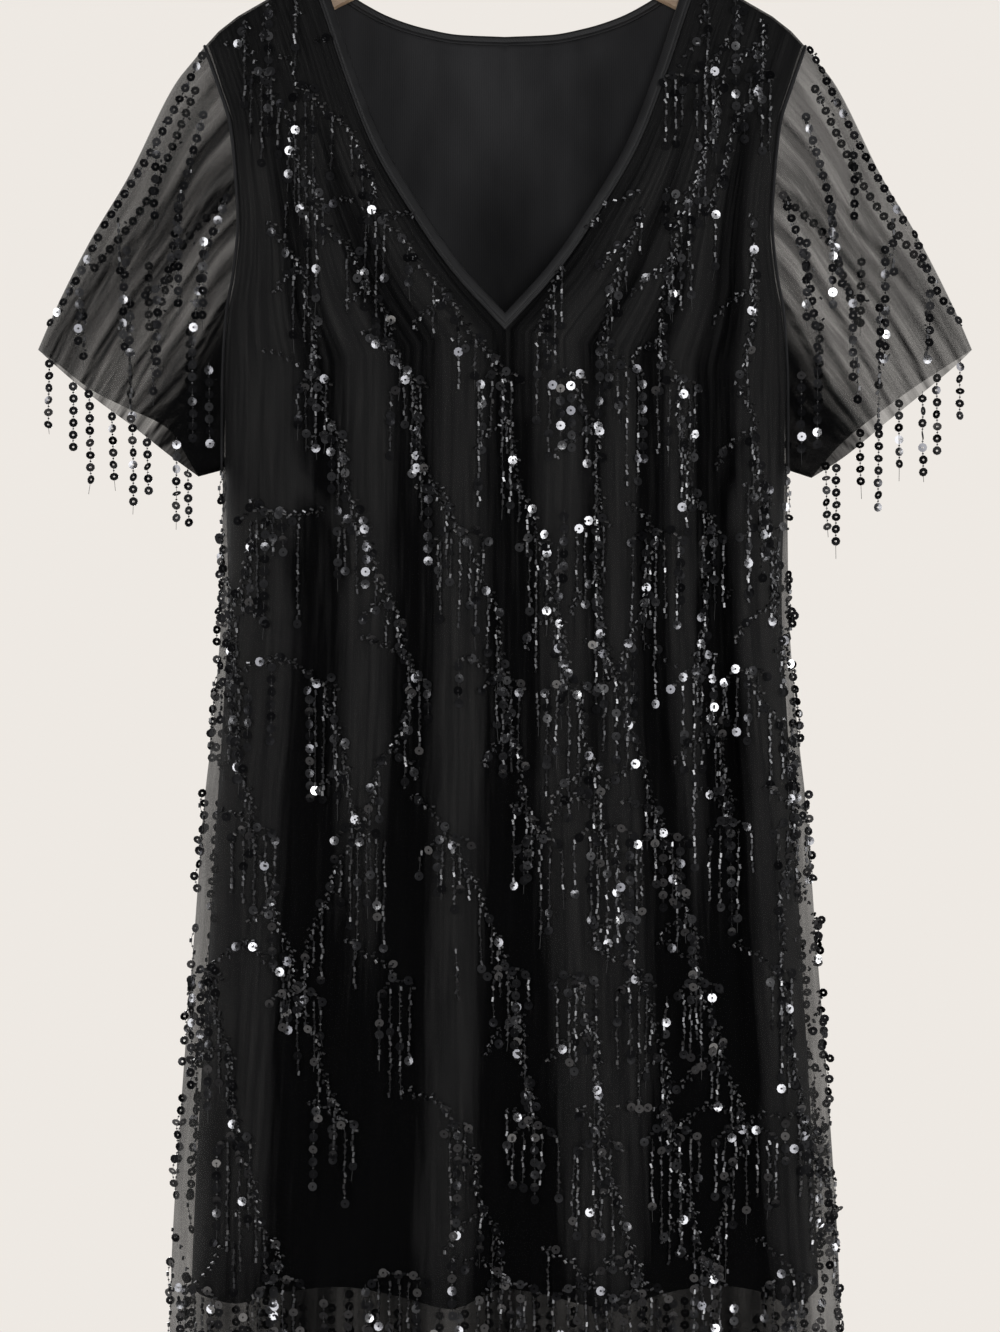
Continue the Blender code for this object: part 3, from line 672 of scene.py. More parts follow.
sleeve = {
    "topAlong": [0, 0.06, 0.16, 0.42, 0.64, 0.86, 1],
    "topX": [222, 230, 243.5, 279, 306, 332, 346],
    "topZ": [-176, -186, -203, -273, -318, -369, -401],
    "round": [0, 0.12, 0.36, 0.58, 0.82, 1],
    "hemX": [346, 332, 303, 277, 249, 227],
    "hemZ": {
        "left": {"front": [-401, -411, -433, -446, -460, -495], "back": [-401, -414, -438, -457, -479, -495]},
        "right": {"front": [-401, -414, -438, -459, -482, -496], "back": [-401, -410, -429, -448, -471, -496]},
    },
    "foldRound": [0, 0.12, 0.26, 0.40, 0.54, 0.67, 0.82, 1],
    "foldHeight": [0, 2, -3, 3, -3, 3, -2, 0],
    "hemDepth": 15,
    "roundness": 0.5,
    "gap": 0.6,
    "ripples": 7,
    "rippleHeight": 1.6,
    "rippleShift": 1.3,
    "gatherShadeLines": [(0.06, 0.012, 0.5), (0.13, 0.010, 1.1), (0.22, 0.022, 0.6), (0.31, 0.010, 1.2),
                (0.37, 0.018, 0.5), (0.46, 0.012, 1.0), (0.55, 0.026, 0.7), (0.63, 0.012, 1.2),
                (0.71, 0.022, 0.8), (0.78, 0.014, 1.1)],        # centre and width round, and how dark: lines of closer net with painted shade along the folds
    "gatherShadeSway": (0.05, 3, 9),
    "slant": 0.12,
    "grain": (630, 250),
    "grainFrom": {"left": 1800, "right": 2700},
    "sheer": {"left": -0.24, "right": -0.76},
    "underarm": {"left": (0.50, 0.78, 2.6), "right": (0.47, 0.78, 2.4)},
    "gatherShadeScale": {"left": 2.2, "right": 1.5},
    "around": 112,
    "along": 46,
    "wall": 0.4,
}


def bySide(side, marks, tables, at):
    # each point follows the table of its own side
    front, back = (curveThrough(marks, tables[which], at) for which in ("front", "back"))
    return np.where(side == "front", front, back)


def topBend(axis, along):
    # how far the top fold lies off the straight line between its ends
    line = sleeve["top" + axis]
    straight = line[0] + (line[-1] - line[0]) * along
    return curveThrough(sleeve["topAlong"], line, along) - straight


def sleevePoint(half, side, share, along):
    # share runs from the top fold to the underarm, along from the armhole to the hem
    form = dressForm
    topZ, bottomZ = form["shoulderZ"][-1], form["underarmZ"]
    z0 = topZ - form["seamGap"] + (bottomZ - topZ) * share
    x0 = halfWidth("net", z0) + sleeve["gap"]
    out = np.where(side == "front", -1, 1)
    # the armhole rolls over the shoulder as the panels do, so that no slit opens at the tip
    drop = (topZ - bottomZ) * share
    rolled = form["shoulderRoll"] * np.sqrt(1 - np.clip(1 - drop / form["shoulderRoll"], 0, 1) ** 2)
    deep = np.where(drop < form["shoulderRoll"], rolled, bySide(side, form["drop"], form, drop))
    y0 = out * np.minimum(curveThrough(form["armholeZ"], form["armholeDepth"], z0), deep)
    hemX = curveThrough(sleeve["round"], sleeve["hemX"], share)
    hemZ = bySide(side, sleeve["round"], sleeve["hemZ"][half], share)
    wave = np.sin(sleeve["ripples"] * 2 * np.pi * share + out * sleeve["rippleShift"])
    ripple = sleeve["rippleHeight"] * wave * np.sin(np.pi * share)
    bulk = sleeve["hemDepth"] * np.sin(np.pi * np.clip(share, 0, 1)) ** sleeve["roundness"]
    hemY = out * (bulk + curveThrough(sleeve["foldRound"], sleeve["foldHeight"], share) + ripple)
    hemY = np.where((share <= 0) | (share >= 1), 0, hemY)
    lift = (1 - share) ** 2
    x = x0 + (hemX - x0) * along + topBend("X", along) * lift
    y = y0 + (hemY - y0) * along
    z = z0 + (hemZ - z0) * along + topBend("Z", along) * lift
    return np.stack([halfSign[half] * x, y, z], axis=-1)


def makeSleeve(half):
    bm = newCloth()
    grid, turn, along = clothGrid(bm, sleeve["around"], sleeve["along"])
    share = np.clip(1 - np.abs(2 * turn - 1), 0, 1)
    moveGrid(grid, sleevePoint(half, np.where(turn <= 0.5, "front", "back"), share, along))
    begin, full, dark = sleeve["underarm"][half]
    gatherAndShade = sleeve["sheer"][half] + dark * smoothStep(begin, full, share - sleeve["slant"] * along)
    sway, bends, shift = sleeve["gatherShadeSway"]
    # painted shade along the sleeve folds, where the net is also drawn closer
    for centre, width, amount in sleeve["gatherShadeLines"]:
        off = share - centre - sway * np.sin(along * bends + centre * shift)
        gatherAndShade += amount * sleeve["gatherShadeScale"][half] * np.exp(-(off / width) ** 2)
    around, down = sleeve["grain"]
    mapGrain(bm, grid, turn * around + sleeve["grainFrom"][half], along * down, gatherAndShade)
    piece, tree = clothPiece("net_sleeve_" + half, bm, "net", sleeve["wall"])
    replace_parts(piece, "sleeve_" + half)
    return piece, tree


armholeSeam = {"radius": 1.3, "steps": 90}


def makeArmholeSeam(half):
    # the turned-in seam between panel and sleeve, as a soft narrow roll right round the armhole
    turn = np.linspace(0, 1, armholeSeam["steps"], endpoint=False)
    share = 1 - np.abs(2 * turn - 1)
    line = sleevePoint(half, np.where(turn <= 0.5, "front", "back"), share, np.zeros_like(turn))
    curve = bpy.data.curves.new("seam", "CURVE")
    curve.dimensions = "3D"
    curve.bevel_depth = armholeSeam["radius"] * 0.001
    curve.bevel_resolution = 1
    spline = curve.splines.new("POLY")
    spline.points.add(len(line) - 1)
    for point, (x, y, z) in zip(spline.points, line):
        point.co = (x * 0.001, y * 0.001, z * 0.001, 1)
    spline.use_cyclic_u = True
    guide = addObject("seam", curve)
    mesh = bpy.data.meshes.new_from_object(guide.evaluated_get(bpy.context.evaluated_depsgraph_get()))
    bpy.data.objects.remove(guide)
    mesh.materials.clear()
    mesh.shade_smooth()
    placePiece("armhole_seam_" + half, mesh, "lining")


sleeves, sleeveTrees = {}, {}
for half in halfSign:
    sleeves[half], sleeveTrees[half] = makeSleeve(half)
    makeArmholeSeam(half)
print("sleeves made")


# beadwork: small shapes copied many times, joined by region
beads = {
    "sequinRadius": 3.4,
    "sequinHole": 0.78,
    "sequinCup": 0.07,
    "sequinThick": 0.16,
    "sequinSides": 9,
    "sequinPitch": 9.0,
    "bugleRadius": 1.12,
    "bugleLength": 3.3,
    "bugleGap": 0.9,
    "discShare": 0.06,
    "tipShare": 0.6,
    "seedRadius": 1.05,
    "threadRadius": 0.22,
    "clear": 1.2,
    "stemPitch": 3.7,
    "stemLean": 32,
    "tilt": 10,
    "freeTilt": 20,
    "sequinTones": (1.2, 3.6),
    "beadTones": (1.1, 3.4),
    "shortThread": 0.05,
    "seed": 41,
}
chance = np.random.default_rng(beads["seed"])


def sequinShape():
    bm = bmesh.new()
    hole, rim, cup, thick = (beads["sequin" + part] for part in ("Hole", "Radius", "Cup", "Thick"))
    corners = (hole, 0, -cup), (rim, 0, 0), (rim, 0, -thick), (hole, 0, -cup - thick)
    profile = [bm.verts.new(corner) for corner in corners]
    edges = [bm.edges.new((profile[i], profile[(i + 1) % 4])) for i in range(4)]
    bmesh.ops.spin(bm, geom=profile + edges, cent=(0, 0, 0), axis=(0, 0, 1), angle=2 * math.pi,
                   steps=beads["sequinSides"], use_merge=True)
    bmesh.ops.remove_doubles(bm, verts=bm.verts, dist=0.001)
    bmesh.ops.recalc_face_normals(bm, faces=bm.faces)
    return shapeData(bm)


def rodShape(sides, radius, length):
    bm = bmesh.new()
    bmesh.ops.create_cone(bm, cap_ends=True, segments=sides, radius1=radius, radius2=radius, depth=length)
    return shapeData(bm)


def seedShape():
    bm = bmesh.new()
    bmesh.ops.create_icosphere(bm, subdivisions=1, radius=beads["seedRadius"])
    bmesh.ops.scale(bm, vec=(1, 1, 0.8), verts=bm.verts)
    return shapeData(bm, smooth=True)


def shapeData(bm, smooth=False):
    bm.verts.index_update()
    corners = [vert.index for face in bm.faces for vert in face.verts]
    counts = [len(face.verts) for face in bm.faces]
    data = {"points": np.array([vert.co[:] for vert in bm.verts]), "corners": np.array(corners),
            "counts": np.array(counts), "smooth": smooth}
    bm.free()
    return data


shapes = {
    "sequin": sequinShape(),
    "bugle": rodShape(5, beads["bugleRadius"], beads["bugleLength"]),
    "seed": seedShape(),
    "thread": rodShape(3, beads["threadRadius"], 1),        # one millimetre, stretched to its place
}
shapeLooks = {"sequin": "sequin", "bugle": "bead", "seed": "bead", "thread": "thread"}
shapeNames = {"sequin": "sequins_", "bugle": "bugle_beads_", "seed": "seed_beads_", "thread": "threads_"}


class Beadwork:
    # the places of every small shape in one region
    def __init__(self, region):
        self.region = region
        self.places = {kind: [] for kind in shapes}
        self.tones = {kind: [] for kind in shapes}

    def put(self, kind, place, tone=0.3):
        self.places[kind].append(place)
        self.tones[kind].append(tone)


def turned(point, axis, along, scale=(1, 1, 1)):
    # local Z lies on the axis and local X nearest to the other direction
    z = axis.normalized()
    x = along - z * along.dot(z)
    if x.length < 1e-6:
        x = z.orthogonal()
    x.normalize()
    y = z.cross(x)
    place = np.eye(4)
    place[:3, 0], place[:3, 1], place[:3, 2] = x * scale[0], y * scale[1], z * scale[2]
    place[:3, 3] = point
    return place


def tilted(normal, spread):
    # the normal leaned by a seeded amount, about the two directions across it
    side = normal.cross(Vector((0, 0, 1)))
    side = side.normalized() if side.length > 1e-3 else Vector((1, 0, 0))
    up = side.cross(normal).normalized()
    a, b = chance.normal(0, math.radians(spread), 2)
    return (normal + side * math.tan(a) + up * math.tan(b)).normalized()


def outward(side):
    return Vector((0, sideSign[side], 0))


def faceOut(side, normal, share=2):
    # out from the dress more than along the cloth
    return (normal + outward(side) * share).normalized()


def putSequin(work, point, normal, spread):
    facing = tilted(normal, spread)
    place = turned(point, facing, Vector((chance.normal(), 0, chance.normal())))
    work.put("sequin", place, float(np.clip(chance.beta(*beads["sequinTones"]), 0, 1)))


def putBead(work, kind, point, axis, size=1.0):
    place = turned(point, axis, Vector((0.3, -1, 0.2)), (size, size, size))
    work.put(kind, place, float(chance.beta(*beads["beadTones"])))


def putThread(work, start, end):
    run = end - start
    if run.length > beads["shortThread"]:
        work.put("thread", turned((start + end) / 2, run, Vector((0.2, -1, 0.1)), (1, 1, run.length)), 0.3)


def clothAt(tree, side, x, z):
    out = sideSign[side]
    hit, normal, _, _ = tree.ray_cast(Vector((x, out * 300, z)), Vector((0, -out, 0)))
    if hit is None:
        return None
    if normal.y * out < 0:
        normal = -normal
    return hit, normal


strand = {
    "start": 0.62,              # the first bead lies so many steps below the root
    "sway": 0.8,
    "drift": 0.18,
    "lift": 0.5,
    "seedSize": 0.85,
    "bugleShare": 0.7,
    "aside": 0.45,
    "lean": (0.24, 0.16),
    "tailDrift": 0.6,
    "tail": (7, 14),
}


def hangStrand(work, tree, side, x, z, length, style="sequins", tail=False, free=False):
    # rests on the cloth where the cloth stands out, and hangs straight down from there
    out = sideSign[side]
    found = clothAt(tree, side, x, z)
    if found is None and not free:
        return
    reach = beads["clear"] if found is None else out * found[0].y + beads["clear"]
    before = Vector((x, out * reach, z))
    step = beads["sequinPitch"] if style == "sequins" else beads["bugleLength"] + beads["bugleGap"]
    sway = chance.normal(0, strand["sway"])
    tip = chance.random() < beads["tipShare"]
    count = max(1, round(length / step))
    for k in range(count):
        here = z - step * (k + strand["start"])
        found = clothAt(tree, side, x, here)
        normal, spread = outward(side), beads["freeTilt"]
        if found is not None:
            reach = max(reach, out * found[0].y + beads["clear"])
            normal, spread = faceOut(side, found[1]), beads["tilt"]
        at = Vector((x + sway * (k + 1) / count + chance.normal(0, strand["drift"]), out * reach, here))
        putThread(work, before, at)
        if style == "sequins" or (tip and k == count - 1) or chance.random() < beads["discShare"]:
            putSequin(work, at + normal * strand["lift"], normal, spread)
            if style == "sequins":
                putBead(work, "seed", (before + at) / 2, Vector((0, 0, 1)), strand["seedSize"])
        else:
            kind = "bugle" if chance.random() < strand["bugleShare"] else "seed"
            aside = Vector((chance.normal(0, strand["aside"]), 0, 0))
            leanX, leanY = (chance.normal(0, lean) for lean in strand["lean"])
            putBead(work, kind, at + aside, Vector((leanX, leanY, 1)))
        before = at
    if tail:
        drift = chance.normal(0, strand["tailDrift"])
        putThread(work, before, before + Vector((drift, 0, -chance.uniform(*strand["tail"]))))


def farAlong(line):
    # how far each point lies along a line of points
    return np.concatenate([[0], np.cumsum(np.linalg.norm(np.diff(line, axis=0), axis=1))])


def curvePath(points, pitch):
    # even steps along a smooth path through a few points
    points = np.array(points, float)
    index = np.arange(len(points))
    fine = np.linspace(0, len(points) - 1, 24 * len(points))
    path = np.stack([curveThrough(index, points[:, k], fine) for k in range(points.shape[1])], axis=-1)
    gone = farAlong(path)
    steps = np.arange(0, gone[-1], pitch)
    return np.stack([np.interp(steps, gone, path[:, k]) for k in range(points.shape[1])], axis=-1)


stemForm = {
    "swing": (1.0, 2.6),
    "phase": 6.3,
    "wave": 0.42,
    "wander": 0.22,
    "lag": (3, 0.6),            # the path sways up and down three beads behind, and less
    "bugle": {"lift": 0.35, "aside": 1.15, "uneven": 0.25, "size": 0.82},
    "leaf": {"lift": 1.3, "aside": 2.9, "uneven": 1.3, "lean": 0.7, "size": 0.7},
    "seed": {"lift": 1.5, "aside": 0.9, "size": 0.8},
    "sequin": {"lift": 2.1, "uneven": 2.2, "share": 0.75},
}


def layStem(work, tree, side, points, sequinEvery, full=True):
    # beads sewn herringbone along a path over the cloth, with leaves and loose sequins beside it
    bugle, leaf, seed, sequin = (stemForm[kind] for kind in ("bugle", "leaf", "seed", "sequin"))
    path = curvePath(points, beads["stemPitch"])
    lean = math.radians(beads["stemLean"])
    phase, swing = chance.uniform(0, stemForm["phase"]), chance.uniform(*stemForm["swing"])
    wave = swing * np.sin(np.arange(len(path)) * stemForm["wave"] + phase)
    wave = wave + np.cumsum(chance.normal(0, stemForm["wander"], len(path)))
    behind, less = stemForm["lag"]
    path = path + np.stack([wave, np.roll(wave, behind) * less], axis=-1)
    for k, (x, z) in enumerate(path[:-1]):
        if not full and k % 2:
            continue
        found = clothAt(tree, side, float(x), float(z))
        if found is None:
            continue
        hit, normal = found
        nextX, nextZ = path[k + 1]
        run = Vector((nextX - x, 0, nextZ - z))
        run = (run - normal * run.dot(normal)).normalized()
        across = normal.cross(run)
        way = 1 if k % 2 else -1
        axis = run * math.cos(lean) + across * (way * math.sin(lean))
        aside = way * bugle["aside"] + chance.normal(0, bugle["uneven"])
        at = hit + normal * (beads["bugleRadius"] + bugle["lift"]) + across * aside
        putBead(work, "bugle", at, axis, bugle["size"])
        if k % 4 == 1:
            aside = way * (leaf["aside"] + chance.uniform(0, leaf["uneven"]))
            at = hit + normal * leaf["lift"] + across * aside
            putBead(work, "bugle", at, (axis + across * way * leaf["lean"]).normalized(), leaf["size"])
        if k % 2 == 0:
            putBead(work, "seed", hit + normal * seed["lift"] - across * way * seed["aside"], run, seed["size"])
        if k % sequinEvery == 2 and chance.random() < sequin["share"]:
            at = hit + normal * sequin["lift"] + across * chance.normal(0, sequin["uneven"])
            putSequin(work, at, faceOut(side, normal), beads["tilt"])


cap = {"drop": 8, "corner": 0.45, "pitch": 0.42, "beadLift": 1.4, "beadSize": 0.85, "beadLean": 0.5,
       "sequinLift": 2.0, "uneven": 1.2}


def layCap(work, tree, side, x, z, reach):
    # a small arch of sequins over a bunch of strands
    corner, foot = reach * cap["corner"], z - cap["drop"]
    arch = [(x - reach, foot), (x - corner, z), (x + corner, z), (x + reach, foot)]
    for k, (px, pz) in enumerate(curvePath(arch, beads["sequinPitch"] * cap["pitch"])):
        found = clothAt(tree, side, float(px), float(pz))
        if found is None:
            continue
        hit, normal = found
        if k % 3:
            axis = Vector((1, 0, chance.normal(0, cap["beadLean"])))
            putBead(work, "bugle", hit + normal * cap["beadLift"], axis, cap["beadSize"])
        else:
            at = hit + normal * cap["sequinLift"] + Vector((0, 0, chance.normal(0, cap["uneven"])))
            putSequin(work, at, faceOut(side, normal), beads["tilt"])


fringe = {
    "front": [(-205, True), (-310, True)] + [(-425 - 110 * i, False) for i in range(7)],
    "back": [(-262 - 110 * i, False) for i in range(8)],
    "rise": 22,
    "yoke": {
        "front": [(-192, 11, 62), (-174, 8, 98), (-154, 7, 70), (150, 8, 66), (170, 9, 100), (190, 12, 58)],
        "back": [(-188, 16, 84), (-150, 14, 60), (-104, 44, 72), (-46, 50, 96), (28, 54, 66), (82, 46, 90),
                 (134, 26, 58), (178, 15, 76)],
    },
    "body": [52, 82, 58, 96, 66],
    "low": {"reach": 236, "step": 17, "top": -1092, "uneven": 30, "length": (45, 95)},
    "hem": [43, 38, 53, 48],
    "cluster": 7.2,
    "sequinShare": 0.15,
    "falling": 0.82,
    "rising": 0.22,
    "hung": {"front": 0.90, "back": 0.62},
    "yokeEnd": -400,            # above it the stems follow the V and the bunches are small
    "heightUneven": 5,
    "aside": 3.5,
    "between": (26, 70),
    "tailShare": 0.25,
}


def columnX(side, across, z):
    # where a fold's line crosses a height
    row = np.linspace(0, len(rowAt(side, "net", np.array([0.0]))[4]) - 1, 400)
    line = panelPoint(side, "net", 1 if across >= 0 else -1, np.full_like(row, abs(across)), row)
    return float(np.interp(-z, -line[:, 2], line[:, 0]))


def tierPath(side, columns, z, number):
    points = []
    for order, across in enumerate(columns):
        low = (order + number) % 2 == 0
        height = z
        height += chance.normal(0, fringe["heightUneven"]) if low else fringe["rise"] * chance.uniform(0.5, 1.5)
        x = columnX(side, across, height)
        if 0 < order < len(columns) - 1:
            x += chance.normal(0, fringe["aside"])
        points.append((x, height, low, order))
    return points


def strandStyle():
    return "sequins" if chance.random() < fringe["sequinShare"] else "bugles"


def hasTail():
    return chance.random() < fringe["tailShare"]


def hangBunch(work, tree, side, x, z, longest, most):
    # a few strands of uneven length close together
    left, right = -int(chance.integers(1, most)), int(chance.integers(1, most))
    layCap(work, tree, side, x, z + 2, fringe["cluster"] * (right - left) / 2 + 2)
    for k in range(left, right + 1):
        here = x + k * fringe["cluster"] * chance.uniform(0.75, 1.2)
        length = longest if k == 0 else longest * chance.uniform(0.35, 1.0)
        hangStrand(work, tree, side, here, z - 1 - abs(k) * 2, length, strandStyle(), hasTail())


def makeTierWork(work, side, columns, z, number):
    tree = netTrees[side]
    yoke = z >= fringe["yokeEnd"]
    points = tierPath(side, columns, z, number)
    armhole = z > dressForm["underarmZ"] + 40
    points = [point for point in points if not armhole or abs(columns[point[3]]) < 0.9]
    for start, end in zip(points, points[1:]):
        # most stems fall away from the middle of the V above and to the right below, as they branch
        falls = end[1] > start[1] if yoke and start[0] >= 0 else end[1] < start[1]
        if chance.random() > (fringe["falling"] if falls else fringe["rising"]):
            continue
        upper, lower = (start, end) if start[1] > end[1] else (end, start)
        middle = (upper[0] * 0.4 + lower[0] * 0.6, upper[1] * 0.62 + lower[1] * 0.38 + chance.normal(0, 2))
        layStem(work, tree, side, [upper[:2], middle, lower[:2]], 7, chance.random() < 0.7)
    for x, height, low, order in points[1:-1]:
        if low and (not yoke or chance.random() < 0.6):
            longest = fringe["body"][(2 * order + 3 * number) % len(fringe["body"])]
            hangBunch(work, tree, side, x, height, longest, 2 if yoke else 4)
        elif chance.random() < 0.5:
            x += chance.normal(0, 3)
            hangStrand(work, tree, side, x, height - 1, chance.uniform(*fringe["between"]), strandStyle())
    return points


branch = {
    "skip": 0.12,
    "rightShare": (0.8, 0.2),       # how often it goes right, where most go right and where few do
    "bend": 5,
    "hangAt": (0.26, 0.46, 0.64, 0.82),
    "hangUneven": 0.03,
    "length": (20, 62),
    "twigShare": 0.6,
    "twigAt": (0.25, 0.6),
    "twigReach": (16, 34),
}


def growBranch(work, side, top, below, way):
    # a stem from a cluster down to the next one, with strands of its own and often a twig
    tree = netTrees[side]
    bend = chance.normal(0, branch["bend"])
    points = [top[:2], (top[0] * 0.42 + below[0] * 0.58 + bend, (top[1] + below[1]) / 2), below[:2]]
    layStem(work, tree, side, points, 5)
    path = curvePath(points, 1.0)
    for far in branch["hangAt"]:
        if chance.random() < fringe["hung"][side]:
            x, z = path[int(len(path) * (far + chance.normal(0, branch["hangUneven"])))]
            length = chance.uniform(*branch["length"])
            hangStrand(work, tree, side, float(x), float(z), length, strandStyle(), hasTail())
    if chance.random() < branch["twigShare"]:
        x, z = path[int(len(path) * chance.uniform(*branch["twigAt"]))]
        reach = chance.uniform(*branch["twigReach"])
        twig = [(x, z), (x - way * reach * 0.6, z - reach * 0.4), (x - way * reach, z - reach)]
        layStem(work, tree, side, twig, 5)


def makeBodyWork(side):
    work = Beadwork(side)
    tree = netTrees[side]
    above = {}
    for number, (z, parted) in enumerate(fringe[side], 1):
        across = folds[side]["across"]
        groups = [[a for a in across if a <= 0], [a for a in across if a >= 0]] if parted else [across]
        here = {}
        for columns in groups:
            for x, height, low, order in makeTierWork(work, side, columns, z, number):
                here[columns[order]] = (x, height, low)
        # stems run down and aside from the clusters above to the next ones
        order = sorted(here)
        for place, column in enumerate(order):
            top = above.get(column)
            if top is None or not top[2] or chance.random() < branch["skip"]:
                continue
            right = z < fringe["yokeEnd"] or top[0] < 0
            way = 1 if chance.random() < branch["rightShare"][0 if right else 1] else -1
            beside = order[min(max(place + way, 0), len(order) - 1)]
            growBranch(work, side, top, here[beside], way)
        above = here
    for x, below, length in fringe["yoke"][side]:
        z = max(float(shoulderHeight(x)), -150) - below
        hangStrand(work, tree, side, x, z, length, "sequins" if length > 90 else "bugles")
        layStem(work, tree, side, [(x, z + 1), (x, z - 14), (x + chance.choice([-7, 7]), z - 30)], 4)
    low = fringe["low"]
    for x in np.arange(-low["reach"], low["reach"], low["step"]):
        z = low["top"] - chance.uniform(0, low["uneven"])
        x = float(x + chance.normal(0, 2.5))
        hangStrand(work, tree, side, x, z, chance.uniform(*low["length"]), "sequins")
    for way in (-1, 1):
        edgeStrands(work, side, way)
    return work


edges = {
    "top": -470,
    "bottom": -1120,
    "start": 40,
    "length": (28, 80),
    "gap": (12, 55),
    "inset": (9, 14),
    "aside": (0.4, 1.3),
    "depth": (1.6, 3.2),
    "insetDepth": (3.0, 0.55),
    "sequinShare": 0.65,
    "turnOut": 0.25,
    "lean": 0.15,
}


def edgeStrands(work, side, way):
    # strands that hang down the side edges, pushed out by the widening net, and some a little inside
    out = sideSign[side]
    facing = Vector((way * edges["turnOut"], out, 0)).normalized()
    flat, deeper = edges["insetDepth"]
    for inset in (0, chance.uniform(*edges["inset"])):
        z = edges["top"] - chance.uniform(0, edges["start"])
        while z > edges["bottom"]:
            length = chance.uniform(*edges["length"])
            style = chance.random()
            before = None
            for k in range(int(length / beads["sequinPitch"])):
                here = z - k * beads["sequinPitch"]
                x = float(halfWidth("net", here)) - inset + chance.normal(*edges["aside"])
                depth = chance.uniform(*edges["depth"]) if inset == 0 else flat + inset * deeper
                at = Vector((way * x, out * depth, here))
                if style < edges["sequinShare"] or k % 3 == 0:
                    putSequin(work, at, facing, beads["freeTilt"])
                else:
                    putBead(work, "bugle", at, Vector((chance.normal(0, edges["lean"]), 0, 1)))
                if before is not None:
                    putThread(work, before, at)
                    putBead(work, "seed", (before + at) / 2, Vector((0, 0, 1)), strand["seedSize"])
                before = at
            z -= length + chance.uniform(*edges["gap"])


def joinWork(work, nodes=()):
    pieces = []
    for kind in shapes:
        if not work.places[kind]:
            continue
        shape = shapes[kind]
        places = np.array(work.places[kind])
        amount, points, corners = len(places), shape["points"], shape["corners"]
        co = np.einsum("kij,nj->kni", places[:, :3, :3], points) + places[:, None, :3, 3]
        mesh = bpy.data.meshes.new("work")
        mesh.vertices.add(amount * len(points))
        mesh.vertices.foreach_set("co", (co * 0.001).astype(np.float32).ravel())
        allCorners = (corners[None, :] + np.arange(amount)[:, None] * len(points)).ravel()
        mesh.loops.add(len(allCorners))
        mesh.loops.foreach_set("vertex_index", allCorners)
        starts = np.concatenate([[0], np.cumsum(np.tile(shape["counts"], amount))[:-1]])
        mesh.polygons.add(len(starts))
        mesh.polygons.foreach_set("loop_start", starts)
        mesh.polygons.foreach_set("use_smooth", np.full(len(starts), shape["smooth"]))
        mesh.update(calc_edges=True)
        tone = mesh.attributes.new("tone", "FLOAT", "POINT")
        tone.data.foreach_set("value", np.repeat(work.tones[kind], len(points)).astype(np.float32))
        piece = placePiece(shapeNames[kind] + work.region, mesh, shapeLooks[kind])
        pieces.append(piece)
        triangles = sum(count - 2 for count in shape["counts"]) * amount
        print("  ", piece.name, amount, "copies,", triangles, "triangles")
    if nodes:
        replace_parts(pieces[0], *nodes)
    return pieces


for side in sideSign:
    nodes = [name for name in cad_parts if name.startswith("fringe_" + side)]
    joinWork(makeBodyWork(side), nodes)
print("body beadwork made")


def hemPoint(side, across):
    last = np.array([float(len(rowAt(side, "net", np.array([0.0]))[4]) - 1)])
    sign = 1 if across >= 0 else -1
    return panelPoint(side, "net", sign, np.array([abs(float(across))]), last)[0]


hemWork = {
    "width": 500,
    "step": 11,
    "uneven": (0.75, 1.08),
    "tailShare": 0.3,
    "root": 2,
    "bugleAt": (2.7, 1.1, 1),
    "bugleLean": 0.25,
    "bugleSize": 0.9,
}
for side in sideSign:
    work = Beadwork("hem_" + side)
    count = round(hemWork["width"] / hemWork["step"])
    for k in range(1, count):
        x, y, z = hemPoint(side, -1 + 2 * k / count)
        length = fringe["hem"][k % len(fringe["hem"])] * chance.uniform(*hemWork["uneven"])
        tail = chance.random() < hemWork["tailShare"]
        root = float(z) + hemWork["root"]
        hangStrand(work, netTrees[side], side, float(x), root, length, "sequins", tail, True)
        aside, clear, lift = hemWork["bugleAt"]
        for way in (-1, 1):
            at = Vector((x + way * aside, y + sideSign[side] * clear, z + lift))
            putBead(work, "bugle", at, Vector((1, 0, hemWork["bugleLean"] * way)), hemWork["bugleSize"])
    joinWork(work, ["fringe_hem_" + side])
print("hem beadwork made")


sleeveWork = {
    # stems and drops over the sleeve, as shares of the way round from the top fold and of the way along
    "stems": {
        "front": [
            [(0.02, 0.02), (0.04, 0.30), (0.015, 0.58)],
            [(0.03, 0.62), (0.05, 0.78), (0.02, 0.92)],
            [(0.12, 0.10), (0.22, 0.30), (0.34, 0.46), (0.30, 0.60)],
            [(0.34, 0.06), (0.42, 0.24), (0.58, 0.36)],
            [(0.14, 0.56), (0.26, 0.68), (0.40, 0.80)],
        ],
        "back": [
            [(0.04, 0.10), (0.08, 0.40), (0.05, 0.70)],
            [(0.30, 0.10), (0.28, 0.35), (0.38, 0.62)],
        ],
    },
    "drops": {
        "front": [(0.05, 0.30, 55), (0.05, 0.52, 40), (0.06, 0.76, 46), (0.20, 0.30, 82), (0.26, 0.64, 48),
                  (0.36, 0.22, 60), (0.34, 0.52, 66), (0.48, 0.66, 34), (0.58, 0.36, 78), (0.72, 0.20, 60),
                  (0.44, 0.80, 40), (0.12, 0.80, 38)],
        "back": [(0.20, 0.50, 50), (0.50, 0.40, 62), (0.34, 0.74, 36)],
    },
    "hemStep": 29,
    "hemOffset": {"front": 0.35, "back": 0.85},
    "lengths": [50, 62, 68, 54, 72, 46, 58],
}


def sleeveSpot(half, side, share, along):
    one = np.array([1.0])
    x, y, z = sleevePoint(half, np.array([side]), one * share, one * along)[0]
    return float(x), float(y), float(z)


